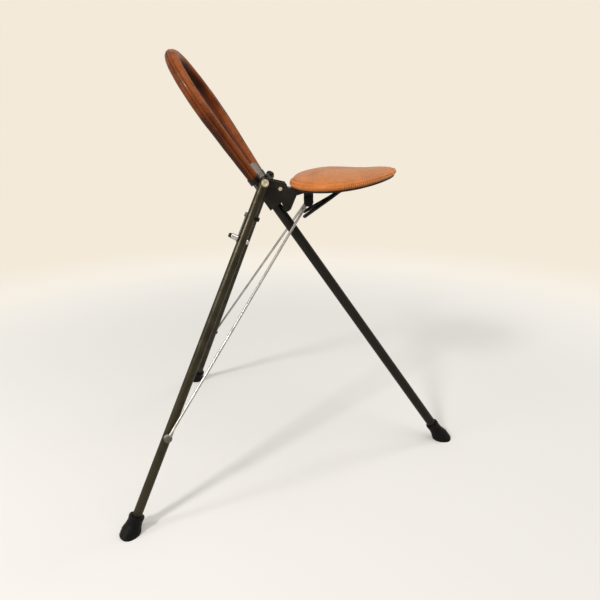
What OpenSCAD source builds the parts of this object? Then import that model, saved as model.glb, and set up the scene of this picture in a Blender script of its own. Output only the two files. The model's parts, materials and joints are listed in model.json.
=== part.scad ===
// Folding tripod stool with a leather seat and a leather-covered hoop back.
// The front leg and the hoop lie in one line, called the stick here.
// Origin: middle of the footprint, on the floor. +X forward, +Y to the sitter's left, +Z up.

/* [Stance] */
// Height of the head centre above the floor
head_h = 636; // [620:1:650]
// Place of the head centre behind the middle of the footprint
head_x = -104.6; // [-112:0.1:-97]
// Slope of the front leg above the floor, in degrees
stick_angle = 54.8; // [54:0.1:56]
// Opening of each rear leg away from the front leg, in degrees
leg_swing = 58.95; // [57.5:0.05:60]
// Turn of each rear leg pivot away from straight across, in degrees
leg_splay = 21.7; // [21:0.1:22.5]

/* [Tubes and rods] */
// Diameter of the front leg tube
front_tube_d = 22; // [20:0.5:24]
// Diameter of the rear leg tubes
leg_tube_d = 18; // [16:0.5:18.5]
// Wall of the tubes
tube_wall = 1.5; // [1:0.1:2.5]
// Diameter of the folding rods
rod_d = 5.5; // [4:0.25:6]
// Place of the rod rivet below the leg pivot, along the leg
rod_seat_at = 521; // [515:1:525]
// Thickness of the flattened rod eye
rod_eye_t = 3.4; // [2.5:0.1:4]
// Diameter of the flattened rod eye
rod_eye_d = 16; // [14:0.5:18]
// Distance from the leg axis to the middle of the rod eye
rod_offset = 17.9; // [17.4:0.1:19]
// Diameter of the rod rivet
rod_rivet_d = 6; // [5:0.5:7]

/* [Rubber feet] */
// Length of a rear foot, from its mouth to the floor
rear_foot_len = 38; // [34:1:44]
// Length of the front foot, from its mouth to the floor
front_foot_len = 53; // [48:1:60]
// Diameter of a rear foot at its base
rear_foot_d = 38; // [36:1:44]
// Diameter of the front foot at its base
front_foot_d = 40; // [36:1:44]
// Diameter of a rubber foot round its mouth
foot_mouth_d = 30; // [28:0.5:33]
// Rubber under the end of the tube
foot_sole = 16; // [12:1:20]

/* [Head] */
// Forward place of the leg pivots from the stick axis
pivot_x = 13.8; // [13:0.1:15]
// Sideways place of the leg pivots
pivot_y = 86.5; // [85:0.5:90]
// Place of the leg pivots below the head centre
pivot_drop = 10.3; // [9:0.1:12]
// Diameter of the pivot bolts
bolt_d = 8; // [6:0.5:10]
// Diameter of the bolt heads and washers
bolt_head_d = 14; // [13:0.5:20]
// Height of the bolt heads
bolt_head_t = 5; // [4:0.25:7]
// Thickness of the pivot pads
pad_t = 14; // [12:0.5:18]
// Depth of the cross arm, along the stick
arm_h = 14; // [12:0.5:16]
// Width of the cross arm, front to back
arm_w = 14; // [12:0.5:18]
// Wall of the head casting round the front tube
head_wall = 3.5; // [3:0.25:4]
// Width of the hinge block
block_w = 32; // [28:1:36]
// Length of the hinge block along the stick
block_len = 50; // [48:1:52]

/* [Seat hinge] */
// Forward place of the seat hinge from the stick axis
hinge_x = 29.7; // [29:0.1:31]
// Place of the seat hinge below the head centre
hinge_drop = 40.2; // [39:0.1:41]
// Diameter of the hinge pin
hinge_pin_d = 6; // [5:0.5:8]
// Thickness of the seat bracket cheeks
cheek_t = 4; // [3:0.25:5]
// Diameter of the stop roller
stop_d = 14; // [12:0.5:14]
// Forward place of the rod pin from the stick axis
rod_pin_x = 63.5; // [63:0.1:64]
// Place of the rod pin below the head centre
rod_pin_drop = 95; // [94:0.1:96]
// Sideways place of the rod rings
rod_pin_y = 22; // [21.5:0.1:23]
// Diameter of the rod pin
rod_pin_d = 5; // [4:0.25:5.5]
// Diameter of the round caps on the rod pin
rod_cap_d = 20; // [16:0.5:21]
// Inner radius of a rod ring
ring_r = 4; // [3.8:0.1:4.5]

/* [Seat] */
// Length of the seat
seat_len = 226; // [215:1:232]
// Width of the seat
seat_w = 280; // [250:1:290]
// Radius of the seat's upward bow, front to back
bow_r = 723; // [600:1:1200]
// Lowest place of the bow in front of the hinge
bow_at = 45; // [30:1:60]
// Tilt of the seat at its lowest place, in degrees
seat_tilt = 0; // [-0.5:0.1:2]
// Place of the seat's rear edge in front of the hinge
seat_back = 18; // [16:0.5:22]
// Thickness of the seat pan
pan_t = 3; // [2:0.25:4]
// Height of the rolled rim
rim_h = 15; // [13:0.5:16]
// Height of the crown above the rim
crown_h = 22; // [12:0.5:22.5]

/* [Hoop back] */
// Diameter of the hoop tube
hoop_tube_d = 18; // [16:0.5:18.5]
// Half the distance between the strands at their base
hoop_base_y = 67; // [65:0.5:69]
// Radius of the top bend
hoop_r = 114; // [105:1:118]
// Height of the hoop's top above the head centre, along the stick
hoop_top = 284; // [270:1:295]
// Outer diameter of the leather at the base
leather_base_d = 22; // [21:0.5:23]
// Outer diameter of the leather round the top
leather_top_d = 26; // [24:0.5:28]
// Forward place of the strands at their base
hoop_x = 2; // [0:0.25:3]
// Forward lean of the hoop from the stick, in degrees
hoop_lean = 1; // [0:0.25:1.5]
// Outer diameter of the sockets at the hoop's ends
socket_d = 25; // [24.5:0.25:25.5]
// Length of those sockets
socket_len = 14; // [12:0.5:18]

/* [Leg catch] */
// Place of the buffer rivet below the leg pivot
buffer_at = 68; // [60:1:75]
// Place of the plunger below the leg pivot
plunger_at = 117; // [110:1:125]
// Outer diameter of the plunger housing
housing_d = 11; // [9:0.5:13]
// Length of the plunger housing
housing_len = 13; // [10:0.5:16]
// Diameter of the plunger
plunger_d = 5; // [4:0.25:5.5]
// Diameter of the ball nose
nose_d = 10; // [8:0.5:11]

/* [Belt hook] */
// Thickness of the hook bar
hook_d = 8; // [6:0.25:8.5]
// Distance between the prong tips
hook_gap = 72; // [66:1:74]

/* [Hidden] */
$fn = 48;

tilt = 90 - stick_angle;
running = 0.05;
gap = 0.3;
soft_gap = 0.3;
tiny = 0.01;
head_at = [head_x, 0, head_h];

function turn_y(p, a) = [p.x * cos(a) + p.z * sin(a), p.y, p.z * cos(a) - p.x * sin(a)];
function from_stick(p) = head_at + turn_y(p, -tilt);

// Front leg: the floor cuts the stick axis this far below the head centre.
stick_len = head_h / cos(tilt);
front_r = front_tube_d / 2;
tube_top = -3;
hub_top = 1;
hub_flat = front_r + 1.6;

// Rear legs, in a frame whose -Z runs down the leg and whose -Y runs out along the pivot.
leg_r = leg_tube_d / 2;
pivot_at = [pivot_x, -pivot_y, -pivot_drop];
pivot_world = from_stick(pivot_at);
leg_fall = sin(leg_swing) * cos(leg_splay) * sin(tilt) + cos(leg_swing) * cos(tilt);
leg_len = pivot_world.z / leg_fall;
leg_dir = turn_y([-sin(leg_swing) * cos(leg_splay), -sin(leg_swing) * sin(leg_splay), -cos(leg_swing)], -tilt);
pivot_out = turn_y([sin(leg_splay), -cos(leg_splay), 0], -tilt);
leg_end = leg_len - foot_sole;
bush_r = bolt_d / 2 + 2;
bush_len = leg_tube_d + 2;
leg_top = 11;
bolt_len = bush_len / 2 + gap + pad_t;

// Rod, from its ring on the seat's pin to its rivet on the leg.
rod_r = rod_d / 2;
ring_at = from_stick([rod_pin_x, -rod_pin_y, -rod_pin_drop]);
eye_at = pivot_world + rod_seat_at * leg_dir + rod_offset * pivot_out;
rod_run = eye_at - ring_at;
rod_len = norm(rod_run);
rod_yaw = atan2(rod_run.y, rod_run.x);
rod_pitch = acos(rod_run.z / rod_len);
ring_wire = 2;
ring_mid = ring_r + ring_wire;
eye_inner = rod_offset - rod_eye_t / 2;
boss_r = rod_rivet_d / 2 + 2.5;
boss_tip_r = 1.8;
// Folding rocks the eye this far against the boss, in degrees, so the boss is domed and stays below it.
eye_rock = 28.4;
function boss_top(r) = rod_offset - rod_eye_t / 2 / cos(eye_rock) - gap - r * tan(eye_rock);

// Seat frame: origin on the hinge axis, x along the seat, z up through it.
hinge_stick = [hinge_x, 0, -hinge_drop];
hinge_at = from_stick(hinge_stick);
function to_seat(p) = turn_y(p - hinge_at, seat_tilt);
rod_pin_seat = to_seat(ring_at);
hinge_r = hinge_pin_d / 2;
ear_r = hinge_r + 6.5;
stop_r = stop_d / 2;
stop_stick = [front_r + gap + stop_r, 0, -block_len - 8.2 - arm_h - stop_r];
stop_seat = to_seat(from_stick(stop_stick));
pan_z = 1;
cheek_y = block_w / 2 + gap;
cheek_out = cheek_y + cheek_t;
pin_gap = gap;
lug_r = rod_cap_d / 2;
lug_y = rod_pin_y - ring_wire - 3.7;
cap_y = rod_pin_y + 0.5 * lug_r + rod_r / 0.895 + gap;
cap_t = 3.5;

// Plan of the seat: an egg, widest towards its rear.
egg = 0.25;
egg_widest = 1.0286;
seat_half_len = seat_len / 2;
seat_half_w = seat_w / 2 / egg_widest;
seat_mid = seat_back + seat_half_len;
function seat_edge(t, s) = [seat_mid + s * seat_half_len * cos(t),
    s * seat_half_w * sin(t) * (1 - egg * cos(t))];

// Section of the cushion from its underside round the rolled rim and the seam to the crown:
// share of the plan, share of the rim's height, share of the crown's span.
cushion_z = pan_z + pan_t + soft_gap;
function bow(x) = bow_r - sqrt(bow_r * bow_r - (x - bow_at) * (x - bow_at));
function ease(x) = let (u = min(max(x, 0), 1)) u * u * (3 - 2 * u);
function along(x) = (x - seat_back) / seat_len;
function rim_at(x) = rim_h * (1 - 0.3 * ease((along(x) - 0.4) / 0.6));
function crown_at(x, s) = crown_h * (1 - 0.58 * ease((along(x) - 0.3) / 0.5)) * pow(1 - pow(s, 4), 0.8);
function padding(x, ring) = rim_at(x) * ring[1] + crown_at(x, ring[2]) + bow(x);
cushion_rings = [[0.5, 0, 1], [0.955, 0, 1], [0.99, 0.2, 1], [1, 0.45, 1], [0.995, 0.7, 1],
    [0.978, 0.92, 1], [0.957, 1, 1], [0.943, 0.95, 1], [0.925, 1.02, 0.985], [0.85, 1, 0.86],
    [0.7, 1, 0.7], [0.5, 1, 0.5], [0.3, 1, 0.3], [0.12, 1, 0.12]];
cushion_sides = 60;

// Hoop: two straight strands that lean out, tangent to a round top.
hoop_mid = hoop_top - hoop_r;
hoop_reach = norm([hoop_base_y, hoop_mid]);
hoop_run = sqrt(hoop_reach * hoop_reach - hoop_r * hoop_r);
strand_lean = atan2(hoop_mid, -hoop_base_y) - asin(hoop_r / hoop_reach);
strand_out = 90 - strand_lean;
hoop_tube_r = hoop_tube_d / 2;
socket_floor = arm_top_z() + 4;
cover_start = arm_top_z() + socket_len + soft_gap;
function arm_top_z() = -1;

// Catch, in the leg's frame, front to back through the tube.
nose_r = nose_d / 2;
plunger_r = plunger_d / 2;

// Hook: one bar under the seat, forking into two prongs that curve down and back.
hook_r = hook_d / 2;
hook_root = [178, pan_z + bow(178) - 1];
hook_fork = [136, pan_z + bow(136) - hook_r - 4];
hook_bend = [100, -24];
hook_tip = [51, -55];

steel_dark = [0.27, 0.25, 0.22];
iron_black = [0.13, 0.12, 0.12];
chrome = [0.80, 0.80, 0.82];
zinc = [0.78, 0.74, 0.62];
rubber = [0.07, 0.07, 0.07];
leather_seat = [0.72, 0.36, 0.18];
leather_back = [0.50, 0.20, 0.09];
grey_steel = [0.55, 0.55, 0.54];

module on_stick() {
    translate(head_at)
        rotate([0, -tilt, 0])
            children();
}

module sided(side) {
    if (side > 0)
        mirror([0, 1, 0])
            children();
    else
        children();
}

module on_pivot() {
    on_stick()
        translate(pivot_at)
            rotate([0, 0, leg_splay])
                children();
}

module on_leg() {
    on_pivot()
        rotate([0, leg_swing, 0])
            children();
}

module on_seat() {
    translate(hinge_at)
        rotate([0, -seat_tilt, 0])
            children();
}

module across(r, y0, y1) {
    translate([0, y0, 0])
        rotate([-90, 0, 0])
            cylinder(r = r, h = y1 - y0);
}

module tube(r, wall, h) {
    difference() {
        cylinder(r = r, h = h);
        translate([0, 0, -1])
            cylinder(r = r - wall, h = h + 2);
    }
}

module below_floor() {
    translate([-500, -500, -200])
        cube([1000, 1000, 200]);
}

// A rubber foot round a tube, mouth up: a lip, a flaring skirt and a blunt barrel.
// Below its length it runs on for the reach, which the floor cuts on the slant.
module foot_shape(tube_r, base_r, len, reach) {
    mouth = foot_mouth_d / 2;
    lip = 0.14 * len;
    difference() {
        rotate_extrude()
            polygon([[0, 0], [mouth - 1, 0], [mouth, -1], [mouth, -lip], [mouth - 0.8, -lip - 1.5],
                [mouth - 0.4, -0.34 * len], [mouth + 0.4, -0.47 * len], [base_r - 2, -0.61 * len],
                [base_r - 0.4, -0.73 * len], [base_r, -0.8 * len], [base_r, -len - 0.35 * reach],
                [base_r - 1.5, -len - 0.6 * reach], [base_r * 0.7, -len - 0.85 * reach],
                [0, -len - reach]]);
        translate([0, 0, -len + foot_sole])
            cylinder(r = tube_r + running, h = len);
    }
}

module front_tube() {
    color(steel_dark)
        on_stick()
            translate([0, 0, -stick_len + foot_sole])
                tube(front_r, tube_wall, stick_len - foot_sole + tube_top);
}

module front_foot() {
    color(rubber)
        difference() {
            on_stick()
                translate([0, 0, -stick_len + front_foot_len])
                    foot_shape(front_r, front_foot_d / 2, front_foot_len,
                        front_foot_d / 2 * tan(tilt) + 2);
            below_floor();
        }
}

// Block on the front tube that carries the seat hinge.
module hinge_block() {
    top = arm_top_z() - arm_h - gap;
    low = top - block_len;
    back = -front_r - head_wall;
    color(iron_black)
        on_stick()
            difference() {
                union() {
                    rotate([90, 0, 0])
                        linear_extrude(block_w, center = true)
                            polygon([[back, top], [front_r + 1, top], [hinge_x + ear_r * 0.6, ear_r * 0.8 - hinge_drop],
                                [hinge_x + ear_r * 0.6, -ear_r * 0.8 - hinge_drop], [front_r + 3, low], [back, low]]);
                    translate([hinge_x, 0, -hinge_drop])
                        across(ear_r, -block_w / 2, block_w / 2);
                }
                translate([0, 0, low - 1])
                    cylinder(r = front_r + running, h = block_len + 2);
                translate([hinge_x, 0, -hinge_drop])
                    across(hinge_r + running, -block_w, block_w);
            }
}

// Casting across the top of the front tube, with a pad at each end for a leg pivot.
module cross_arm() {
    top = arm_top_z();
    hub_r = front_r + head_wall - gap;
    color(iron_black)
        on_stick()
            difference() {
                union() {
                    translate([0, 0, top - arm_h])
                        cylinder(r = hub_r, h = hub_top - 1 - top + arm_h);
                    translate([0, 0, hub_top - 1])
                        cylinder(r1 = hub_r, r2 = hub_r - 1, h = 1);
                    translate([-arm_w / 2, -pivot_y + 22, top - arm_h])
                        cube([arm_w, 2 * (pivot_y - 22), arm_h]);
                    for (side = [0, 1])
                        mirror([0, side, 0])
                            translate(pivot_at)
                                rotate([0, 0, leg_splay])
                                    translate([-11, bush_len / 2 + gap, -11.5])
                                        cube([22, pad_t, 11.5 + pivot_drop + top]);
                }
                translate([0, 0, top - arm_h - 1])
                    cylinder(r = front_r + running, h = 1 + arm_h + tube_top - top + running);
                translate([hub_flat, -30, top - arm_h - 1])
                    cube([20, 60, arm_h + 10]);
                for (side = [0, 1])
                    mirror([0, side, 0])
                        translate(pivot_at)
                            rotate([0, 0, leg_splay])
                                across(bolt_d / 2 + running, 0, bolt_len + 2);
            }
}

// Frame of one strand of the hoop, with z up along the strand.
module on_strand(side) {
    on_stick()
        sided(side)
            translate([hoop_x, -hoop_base_y, 0])
                rotate([0, hoop_lean, 0])
                    rotate([strand_out, 0, 0])
                        children();
}

module below_arm() {
    on_stick()
        translate([-60, -150, arm_top_z() - 60])
            cube([120, 300, 60]);
}

module socket(side) {
    flat = leather_base_d / 2 + 0.5;
    color(iron_black)
        difference() {
            on_strand(side)
                intersection() {
                    translate([0, 0, -12])
                        cylinder(d = socket_d, h = 12 + arm_top_z() + socket_len);
                    translate([-20, -20, -13])
                        cube([40, 20 + flat, 60]);
                }
            on_strand(side)
                translate([0, 0, socket_floor])
                    cylinder(r = hoop_tube_r + running, h = socket_len + 10);
            below_arm();
        }
}

// Flat steel stay that stands on the arm beside the strand.
module stay_plate(side) {
    flat = leather_base_d / 2 + 0.5;
    color(grey_steel)
        difference() {
            on_strand(side)
                difference() {
                    union() {
                        translate([-9, flat, -12])
                            cube([18, 3, 38]);
                        translate([0, flat, 26])
                            across(9, 0, 3);
                    }
                    translate([0, flat, 6])
                        across(2 + running, -1, 4);
                }
            below_arm();
        }
}

module stay_rivets() {
    flat = leather_base_d / 2 + 0.5;
    color(chrome)
        for (side = [-1, 1])
            on_strand(side)
                translate([0, flat, 6]) {
                    across(2, 0, 3);
                    across(3.5, 3, 4.5);
                }
}

module hoop_tube() {
    inner = hoop_tube_r - tube_wall;
    color(steel_dark)
        difference() {
            hoop_form(hoop_tube_r, hoop_tube_r, socket_floor);
            hoop_form(inner, inner, socket_floor - 1);
        }
}

// A round bar along the whole hoop, from a given height on the strands.
module hoop_form(r_base, r_top, start) {
    for (side = [-1, 1])
        on_strand(side)
            translate([0, 0, start])
                cylinder(r1 = r_base, r2 = r_top, h = hoop_run - start);
    for (side = [-1, 1])
        on_strand(side)
            translate([0, 0, hoop_run - 0.5])
                cylinder(r = r_top + 0.1, h = 1);
    on_stick()
        translate([hoop_x, 0, 0])
            rotate([0, hoop_lean, 0])
                translate([0, 0, hoop_mid])
                    rotate([0, 90, 0])
                        rotate([0, 0, 90 - strand_out])
                            rotate_extrude(angle = 180 + 2 * strand_out)
                                translate([hoop_r, 0])
                                    circle(r = r_top);
}

module hoop_cover() {
    color(leather_back)
        difference() {
            hoop_form(leather_base_d / 2, leather_top_d / 2, cover_start);
            hoop_form(hoop_tube_r + soft_gap, hoop_tube_r + soft_gap, cover_start - 1);
        }
}

module hinge_pin() {
    end = cheek_out + pin_gap;
    color(zinc)
        on_stick()
            translate([hinge_x, 0, -hinge_drop]) {
                across(hinge_r, -end, end);
                across(hinge_r + 1, end, end + 1.5);
                across(hinge_r + 1, -end - 1.5, -end);
            }
}

module pivot_bolt(side) {
    seat = -bush_len / 2 - gap - 1.5;
    color(zinc)
        sided(side)
            on_pivot()
                difference() {
                    union() {
                        across(bolt_d / 2, seat, bolt_len);
                        across(bolt_head_d / 2, seat - bolt_head_t + 1, seat);
                        across(bolt_head_d / 2 - 1, seat - bolt_head_t, seat);
                    }
                    across(3.5, seat - bolt_head_t - 1, seat - 2);
                }
}

module pivot_washer(side) {
    seat = -bush_len / 2 - gap - 1.5;
    color(grey_steel)
        sided(side)
            on_pivot()
                difference() {
                    across(bolt_head_d / 2 + 1, seat, seat + 1.5);
                    across(bolt_d / 2 + running, seat - 1, seat + 3);
                }
}

module leg_tube(side) {
    color(steel_dark)
        sided(side)
            on_leg()
                difference() {
                    translate([0, 0, -leg_end])
                        tube(leg_r, tube_wall, leg_end + leg_top);
                    across(bush_r + running, -leg_r - 1, leg_r + 1);
                    if (side < 0) {
                        translate([0, 0, -buffer_at])
                            rotate([0, 90, 0])
                                cylinder(r = 2 + running, h = leg_tube_d + 2, center = true);
                        translate([0, 0, -plunger_at])
                            rotate([0, 90, 0])
                                cylinder(r = plunger_r + running, h = leg_tube_d + 2, center = true);
                        translate([0, 0, -plunger_at])
                            rotate([0, 90, 0])
                                cylinder(r = nose_r + running, h = leg_tube_d);
                    }
                }
}

module leg_bush(side) {
    color(zinc)
        sided(side)
            on_leg()
                difference() {
                    across(bush_r, -bush_len / 2, bush_len / 2);
                    across(bolt_d / 2 + running, -bush_len, bush_len);
                }
}

module leg_cap(side) {
    color(rubber)
        sided(side)
            on_leg() {
                translate([0, 0, leg_top - 4])
                    cylinder(r = leg_r - tube_wall - running, h = 4);
                translate([0, 0, leg_top])
                    cylinder(r1 = leg_r, r2 = leg_r - 2, h = 2.5);
            }
}

module rear_foot(side) {
    color(rubber)
        difference() {
            sided(side)
                on_leg()
                    translate([0, 0, -leg_len + rear_foot_len])
                        foot_shape(leg_r, rear_foot_d / 2, rear_foot_len,
                            rear_foot_d / 2 * tan(acos(leg_fall)) + 2);
            below_floor();
        }
}

// Domed boss on the outside of the leg, under the rod's eye.
module rod_boss(side) {
    color(zinc)
        sided(side)
            on_leg()
                translate([0, 0, -rod_seat_at])
                    difference() {
                        union() {
                            across(boss_r, -boss_top(boss_r), 0);
                            translate([0, -boss_top(boss_r), 0])
                                rotate([90, 0, 0])
                                    cylinder(r1 = boss_r, r2 = boss_tip_r, h = boss_top(boss_tip_r) - boss_top(boss_r));
                        }
                        cylinder(r = leg_r + running, h = 40, center = true);
                    }
}

module rod(side) {
    color(chrome)
        sided(side) {
            translate(ring_at)
                rotate([90, 0, 0])
                    rotate_extrude()
                        translate([ring_mid, 0])
                            circle(r = ring_wire);
            difference() {
                translate(ring_at)
                    rotate([0, rod_pitch, rod_yaw])
                        translate([0, 0, ring_mid])
                            cylinder(r = rod_r, h = rod_len - ring_mid - rod_eye_d / 2 + 1);
                translate(ring_at)
                    across(ring_mid, -ring_wire * 4, ring_wire * 4);
            }
            on_leg()
                translate([0, 0, -rod_seat_at])
                    difference() {
                        across(rod_eye_d / 2, -rod_offset - rod_eye_t / 2, -eye_inner);
                        across(rod_rivet_d / 2 + running, -rod_offset - 20, 0);
                    }
        }
}

// Rivet through the eye: it moves with the rod, and its foot stays clear of the boss.
module rod_rivet(side) {
    outer = -rod_offset - rod_eye_t / 2;
    color(zinc)
        sided(side)
            on_leg()
                translate([0, 0, -rod_seat_at]) {
                    across(rod_rivet_d / 2, outer, -eye_inner);
                    across(rod_rivet_d / 2 + 2, outer - 1.2, outer);
                    across(rod_rivet_d / 2 + 0.8, outer - 2.2, outer - 1.2);
                }
}

// Folded plate under the pan: two cheeks on the hinge pin, joined by a web.
module seat_bracket() {
    s = [stop_seat.x, stop_seat.z];
    web_z = pan_z - 3;
    color(iron_black)
        on_seat()
            difference() {
                union() {
                    for (y = [-cheek_out, cheek_y])
                        translate([0, y + cheek_t, 0])
                            rotate([90, 0, 0])
                                linear_extrude(cheek_t)
                                    cheek_side(s, web_z);
                    translate([ear_r + 6, -cheek_out + tiny, web_z])
                        cube([72 - ear_r - 6, 2 * cheek_out - 2 * tiny, 5]);
                }
                above_pan(running);
                rivet_places()
                    translate([0, 0, -10])
                        cylinder(r = 2.5 + running, h = 20);
            }
}

module cheek_side(s, web_z) {
    difference() {
        union() {
            polygon([[-27, 16], [-24, 5], [-9, 0], [s.x - 8, s.y + 2], [s.x + 4, s.y - 8],
                [s.x + 9, s.y - 4], [34, web_z - 12], [72, web_z], [72, pan_z + 2],
                [14, pan_z + 2], [8, 12], [-20, 18]]);
            circle(r = ear_r);
            translate(s)
                circle(r = 9);
            translate([-23.5, 14])
                circle(r = 4);
        }
        circle(r = hinge_r + running);
        translate(s)
            circle(r = 3 + running);
    }
}

// Side view of the space over the bowed pan's underside, for cutting what meets it.
module above_pan(clear) {
    rotate([90, 0, 0])
        linear_extrude(300, center = true)
            intersection() {
                translate([bow_at, pan_z + bow_r])
                    circle(r = bow_r + clear, $fn = 360);
                translate([13, -20])
                    square([300, 100]);
            }
}

module seat_pan() {
    color(iron_black)
        on_seat()
            difference() {
                intersection() {
                    above_pan(0);
                    translate([0, 0, pan_z - 5])
                        linear_extrude(60)
                            polygon([for (i = [0:71]) seat_edge(5 * i, 0.955)]);
                }
                translate([bow_at, 0, pan_z + bow_r])
                    rotate([90, 0, 0])
                        cylinder(r = bow_r - pan_t, h = 320, center = true, $fn = 360);
                rivet_places()
                    translate([0, 0, -10])
                        cylinder(r = 2.5 + running, h = 20);
            }
}

module rivet_places() {
    for (x = [seat_back + 12, seat_back + 24])
        for (y = [-12, 12])
            translate([x, y, pan_z])
                children();
}

// Padded seat: flat below, rolled rim, crowned top.
module seat_cushion() {
    n = cushion_sides;
    m = len(cushion_rings);
    points = concat(
        [[seat_mid, 0, bow(seat_mid)]],
        [for (ring = cushion_rings) for (i = [0:n - 1])
            let (e = seat_edge(360 * i / n, ring[0])) [e.x, e.y, padding(e.x, ring)]],
        [[seat_mid, 0, padding(seat_mid, [0, 1, 0])]]);
    faces = concat(
        [for (i = [0:n - 1]) [0, 1 + i, 1 + (i + 1) % n]],
        [for (k = [0:m - 2]) for (i = [0:n - 1])
            [1 + k * n + i, 1 + (k + 1) * n + i, 1 + k * n + (i + 1) % n]],
        [for (k = [0:m - 2]) for (i = [0:n - 1])
            [1 + k * n + (i + 1) % n, 1 + (k + 1) * n + i, 1 + (k + 1) * n + (i + 1) % n]],
        [for (i = [0:n - 1]) [1 + (m - 1) * n + i, 1 + m * n, 1 + (m - 1) * n + (i + 1) % n]]);
    color(leather_seat)
        on_seat()
            translate([0, 0, cushion_z])
                polyhedron(points, faces, convexity = 4);
}

module seat_rivets() {
    color(zinc)
        on_seat()
            rivet_places()
                translate([0, 0, -4.6]) {
                    cylinder(r = 4, h = 1.6);
                    cylinder(r = 2.5, h = 4.6 + pan_t);
                }
}

module stop_roller() {
    color(rubber)
        on_seat()
            translate([stop_seat.x, 0, stop_seat.z])
                difference() {
                    across(stop_r, -cheek_y + gap, cheek_y - gap);
                    across(3 + running, -cheek_out, cheek_out);
                }
}

module stop_pin() {
    color(zinc)
        on_seat()
            translate([stop_seat.x, 0, stop_seat.z]) {
                across(3, -cheek_out, cheek_out);
                across(4.5, cheek_out, cheek_out + 1.5);
                across(4.5, -cheek_out - 1.5, -cheek_out);
            }
}

// Round-bottomed lug under the pan that holds the rod pin.
module rod_lug() {
    x = rod_pin_seat.x;
    z = rod_pin_seat.z;
    top = pan_z - 3;
    color(iron_black)
        on_seat()
            difference() {
                union() {
                    translate([x, 0, z])
                        across(lug_r, -lug_y, lug_y);
                    translate([x - lug_r, -lug_y, z])
                        cube([2 * lug_r, 2 * lug_y, top - z]);
                }
                translate([x - 30, -lug_y + 5, z - 30])
                    cube([60, 2 * lug_y - 10, 26 + top - z]);
                translate([x, 0, z])
                    across(rod_pin_d / 2 + running, -40, 40);
            }
}

module rod_pin() {
    color(chrome)
        on_seat()
            translate([rod_pin_seat.x, 0, rod_pin_seat.z])
                across(rod_pin_d / 2, -cap_y - cap_t + 1, cap_y + cap_t - 1);
}

module rod_caps() {
    color(rubber)
        on_seat()
            for (side = [0, 1])
                mirror([0, side, 0])
                    translate([rod_pin_seat.x, 0, rod_pin_seat.z])
                        difference() {
                            across(rod_cap_d / 2, cap_y, cap_y + cap_t);
                            across(rod_pin_d / 2 + running, cap_y - 1, cap_y + cap_t - 1 + running);
                        }
}

// A bar from one point to another with a round end.
module bar(a, b, r) {
    run = b - a;
    len_ab = norm(run);
    translate(a)
        rotate([0, acos(run.z / len_ab), atan2(run.y, run.x)])
            cylinder(r = r, h = len_ab);
    translate(b)
        sphere(r = r + 0.1);
}

// Forked hook under the front of the seat.
module belt_hook() {
    root = [hook_root.x, 0, hook_root.y];
    fork = [hook_fork.x, 0, hook_fork.y];
    color(iron_black)
        on_seat()
            difference() {
                union() {
                    bar(root, fork, hook_r);
                    translate(root)
                        sphere(r = hook_r + 0.1);
                    for (side = [-1, 1]) {
                        spread = side * (hook_gap / 2);
                        bend = [hook_bend.x, spread * 0.35, hook_bend.y];
                        tip = [hook_tip.x, spread, hook_tip.y];
                        bar(fork, bend, hook_r);
                        bar(bend, tip, hook_r);
                    }
                }
                above_pan(running);
            }
}

module catch_buffer() {
    color(rubber)
        sided(-1)
            on_leg()
                translate([leg_r - 1, 0, -buffer_at])
                    rotate([0, 90, 0])
                        difference() {
                            cylinder(r = 4.5, h = 9);
                            translate([0, 0, -1])
                                cylinder(r = 2 + running, h = 5 + running);
                            translate([0, 0, 1 - leg_r])
                                rotate([0, 90, 0])
                                    cylinder(r = leg_r + running, h = 20, center = true);
                        }
}

module catch_rivet() {
    color(grey_steel)
        on_leg()
            translate([0, 0, -buffer_at])
                rotate([0, 90, 0]) {
                    translate([0, 0, -leg_r - 1.4])
                        cylinder(r = 2, h = 2 * leg_r + 1.4 + 3);
                    translate([0, 0, -leg_r - 4])
                        cylinder(r = 4.5, h = 2.6);
                }
}

// Leaf spring on the back of the leg, from the rivet to the housing.
module catch_leaf() {
    x0 = -leg_r - 1.4;
    color(grey_steel)
        on_leg()
            difference() {
                union() {
                    translate([x0, -5, -plunger_at])
                        cube([1.2, 10, plunger_at - buffer_at]);
                    for (z = [buffer_at, plunger_at])
                        translate([x0, 0, -z])
                            rotate([0, 90, 0])
                                cylinder(r = z == buffer_at ? 5 : 7.5, h = 1.2);
                }
                translate([x0, 0, -buffer_at])
                    rotate([0, 90, 0])
                        cylinder(r = 2 + running, h = 6, center = true);
                translate([x0, 0, -plunger_at])
                    rotate([0, 90, 0])
                        cylinder(r = plunger_r + running, h = 6, center = true);
            }
}

module catch_housing() {
    back = -leg_r - 1.4;
    color(chrome)
        on_leg()
            translate([back, 0, -plunger_at])
                rotate([0, -90, 0])
                    difference() {
                        cylinder(d = housing_d, h = housing_len);
                        translate([0, 0, -1])
                            cylinder(r = plunger_r + running, h = housing_len + 2);
                    }
}

module catch_plunger() {
    back = -leg_r - 1.4 - housing_len;
    color(chrome)
        on_leg()
            translate([0, 0, -plunger_at])
                rotate([0, 90, 0]) {
                    translate([0, 0, back - 3])
                        cylinder(r = plunger_r, h = leg_r - back + 3);
                    translate([0, 0, leg_r + 0.8])
                        sphere(r = nose_r);
                }
}

module catch_knob() {
    back = -leg_r - 1.4 - housing_len - gap;
    color(iron_black)
        on_leg()
            translate([0, 0, -plunger_at])
                rotate([0, 90, 0])
                    difference() {
                        union() {
                            translate([0, 0, back - 3])
                                cylinder(r = 4.5, h = 3);
                            translate([0, 0, back - 4.5])
                                cylinder(r1 = 3, r2 = 4.5, h = 1.5);
                        }
                        translate([0, 0, back - 2.7])
                            cylinder(r = plunger_r + running, h = 6);
                    }
}

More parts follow.
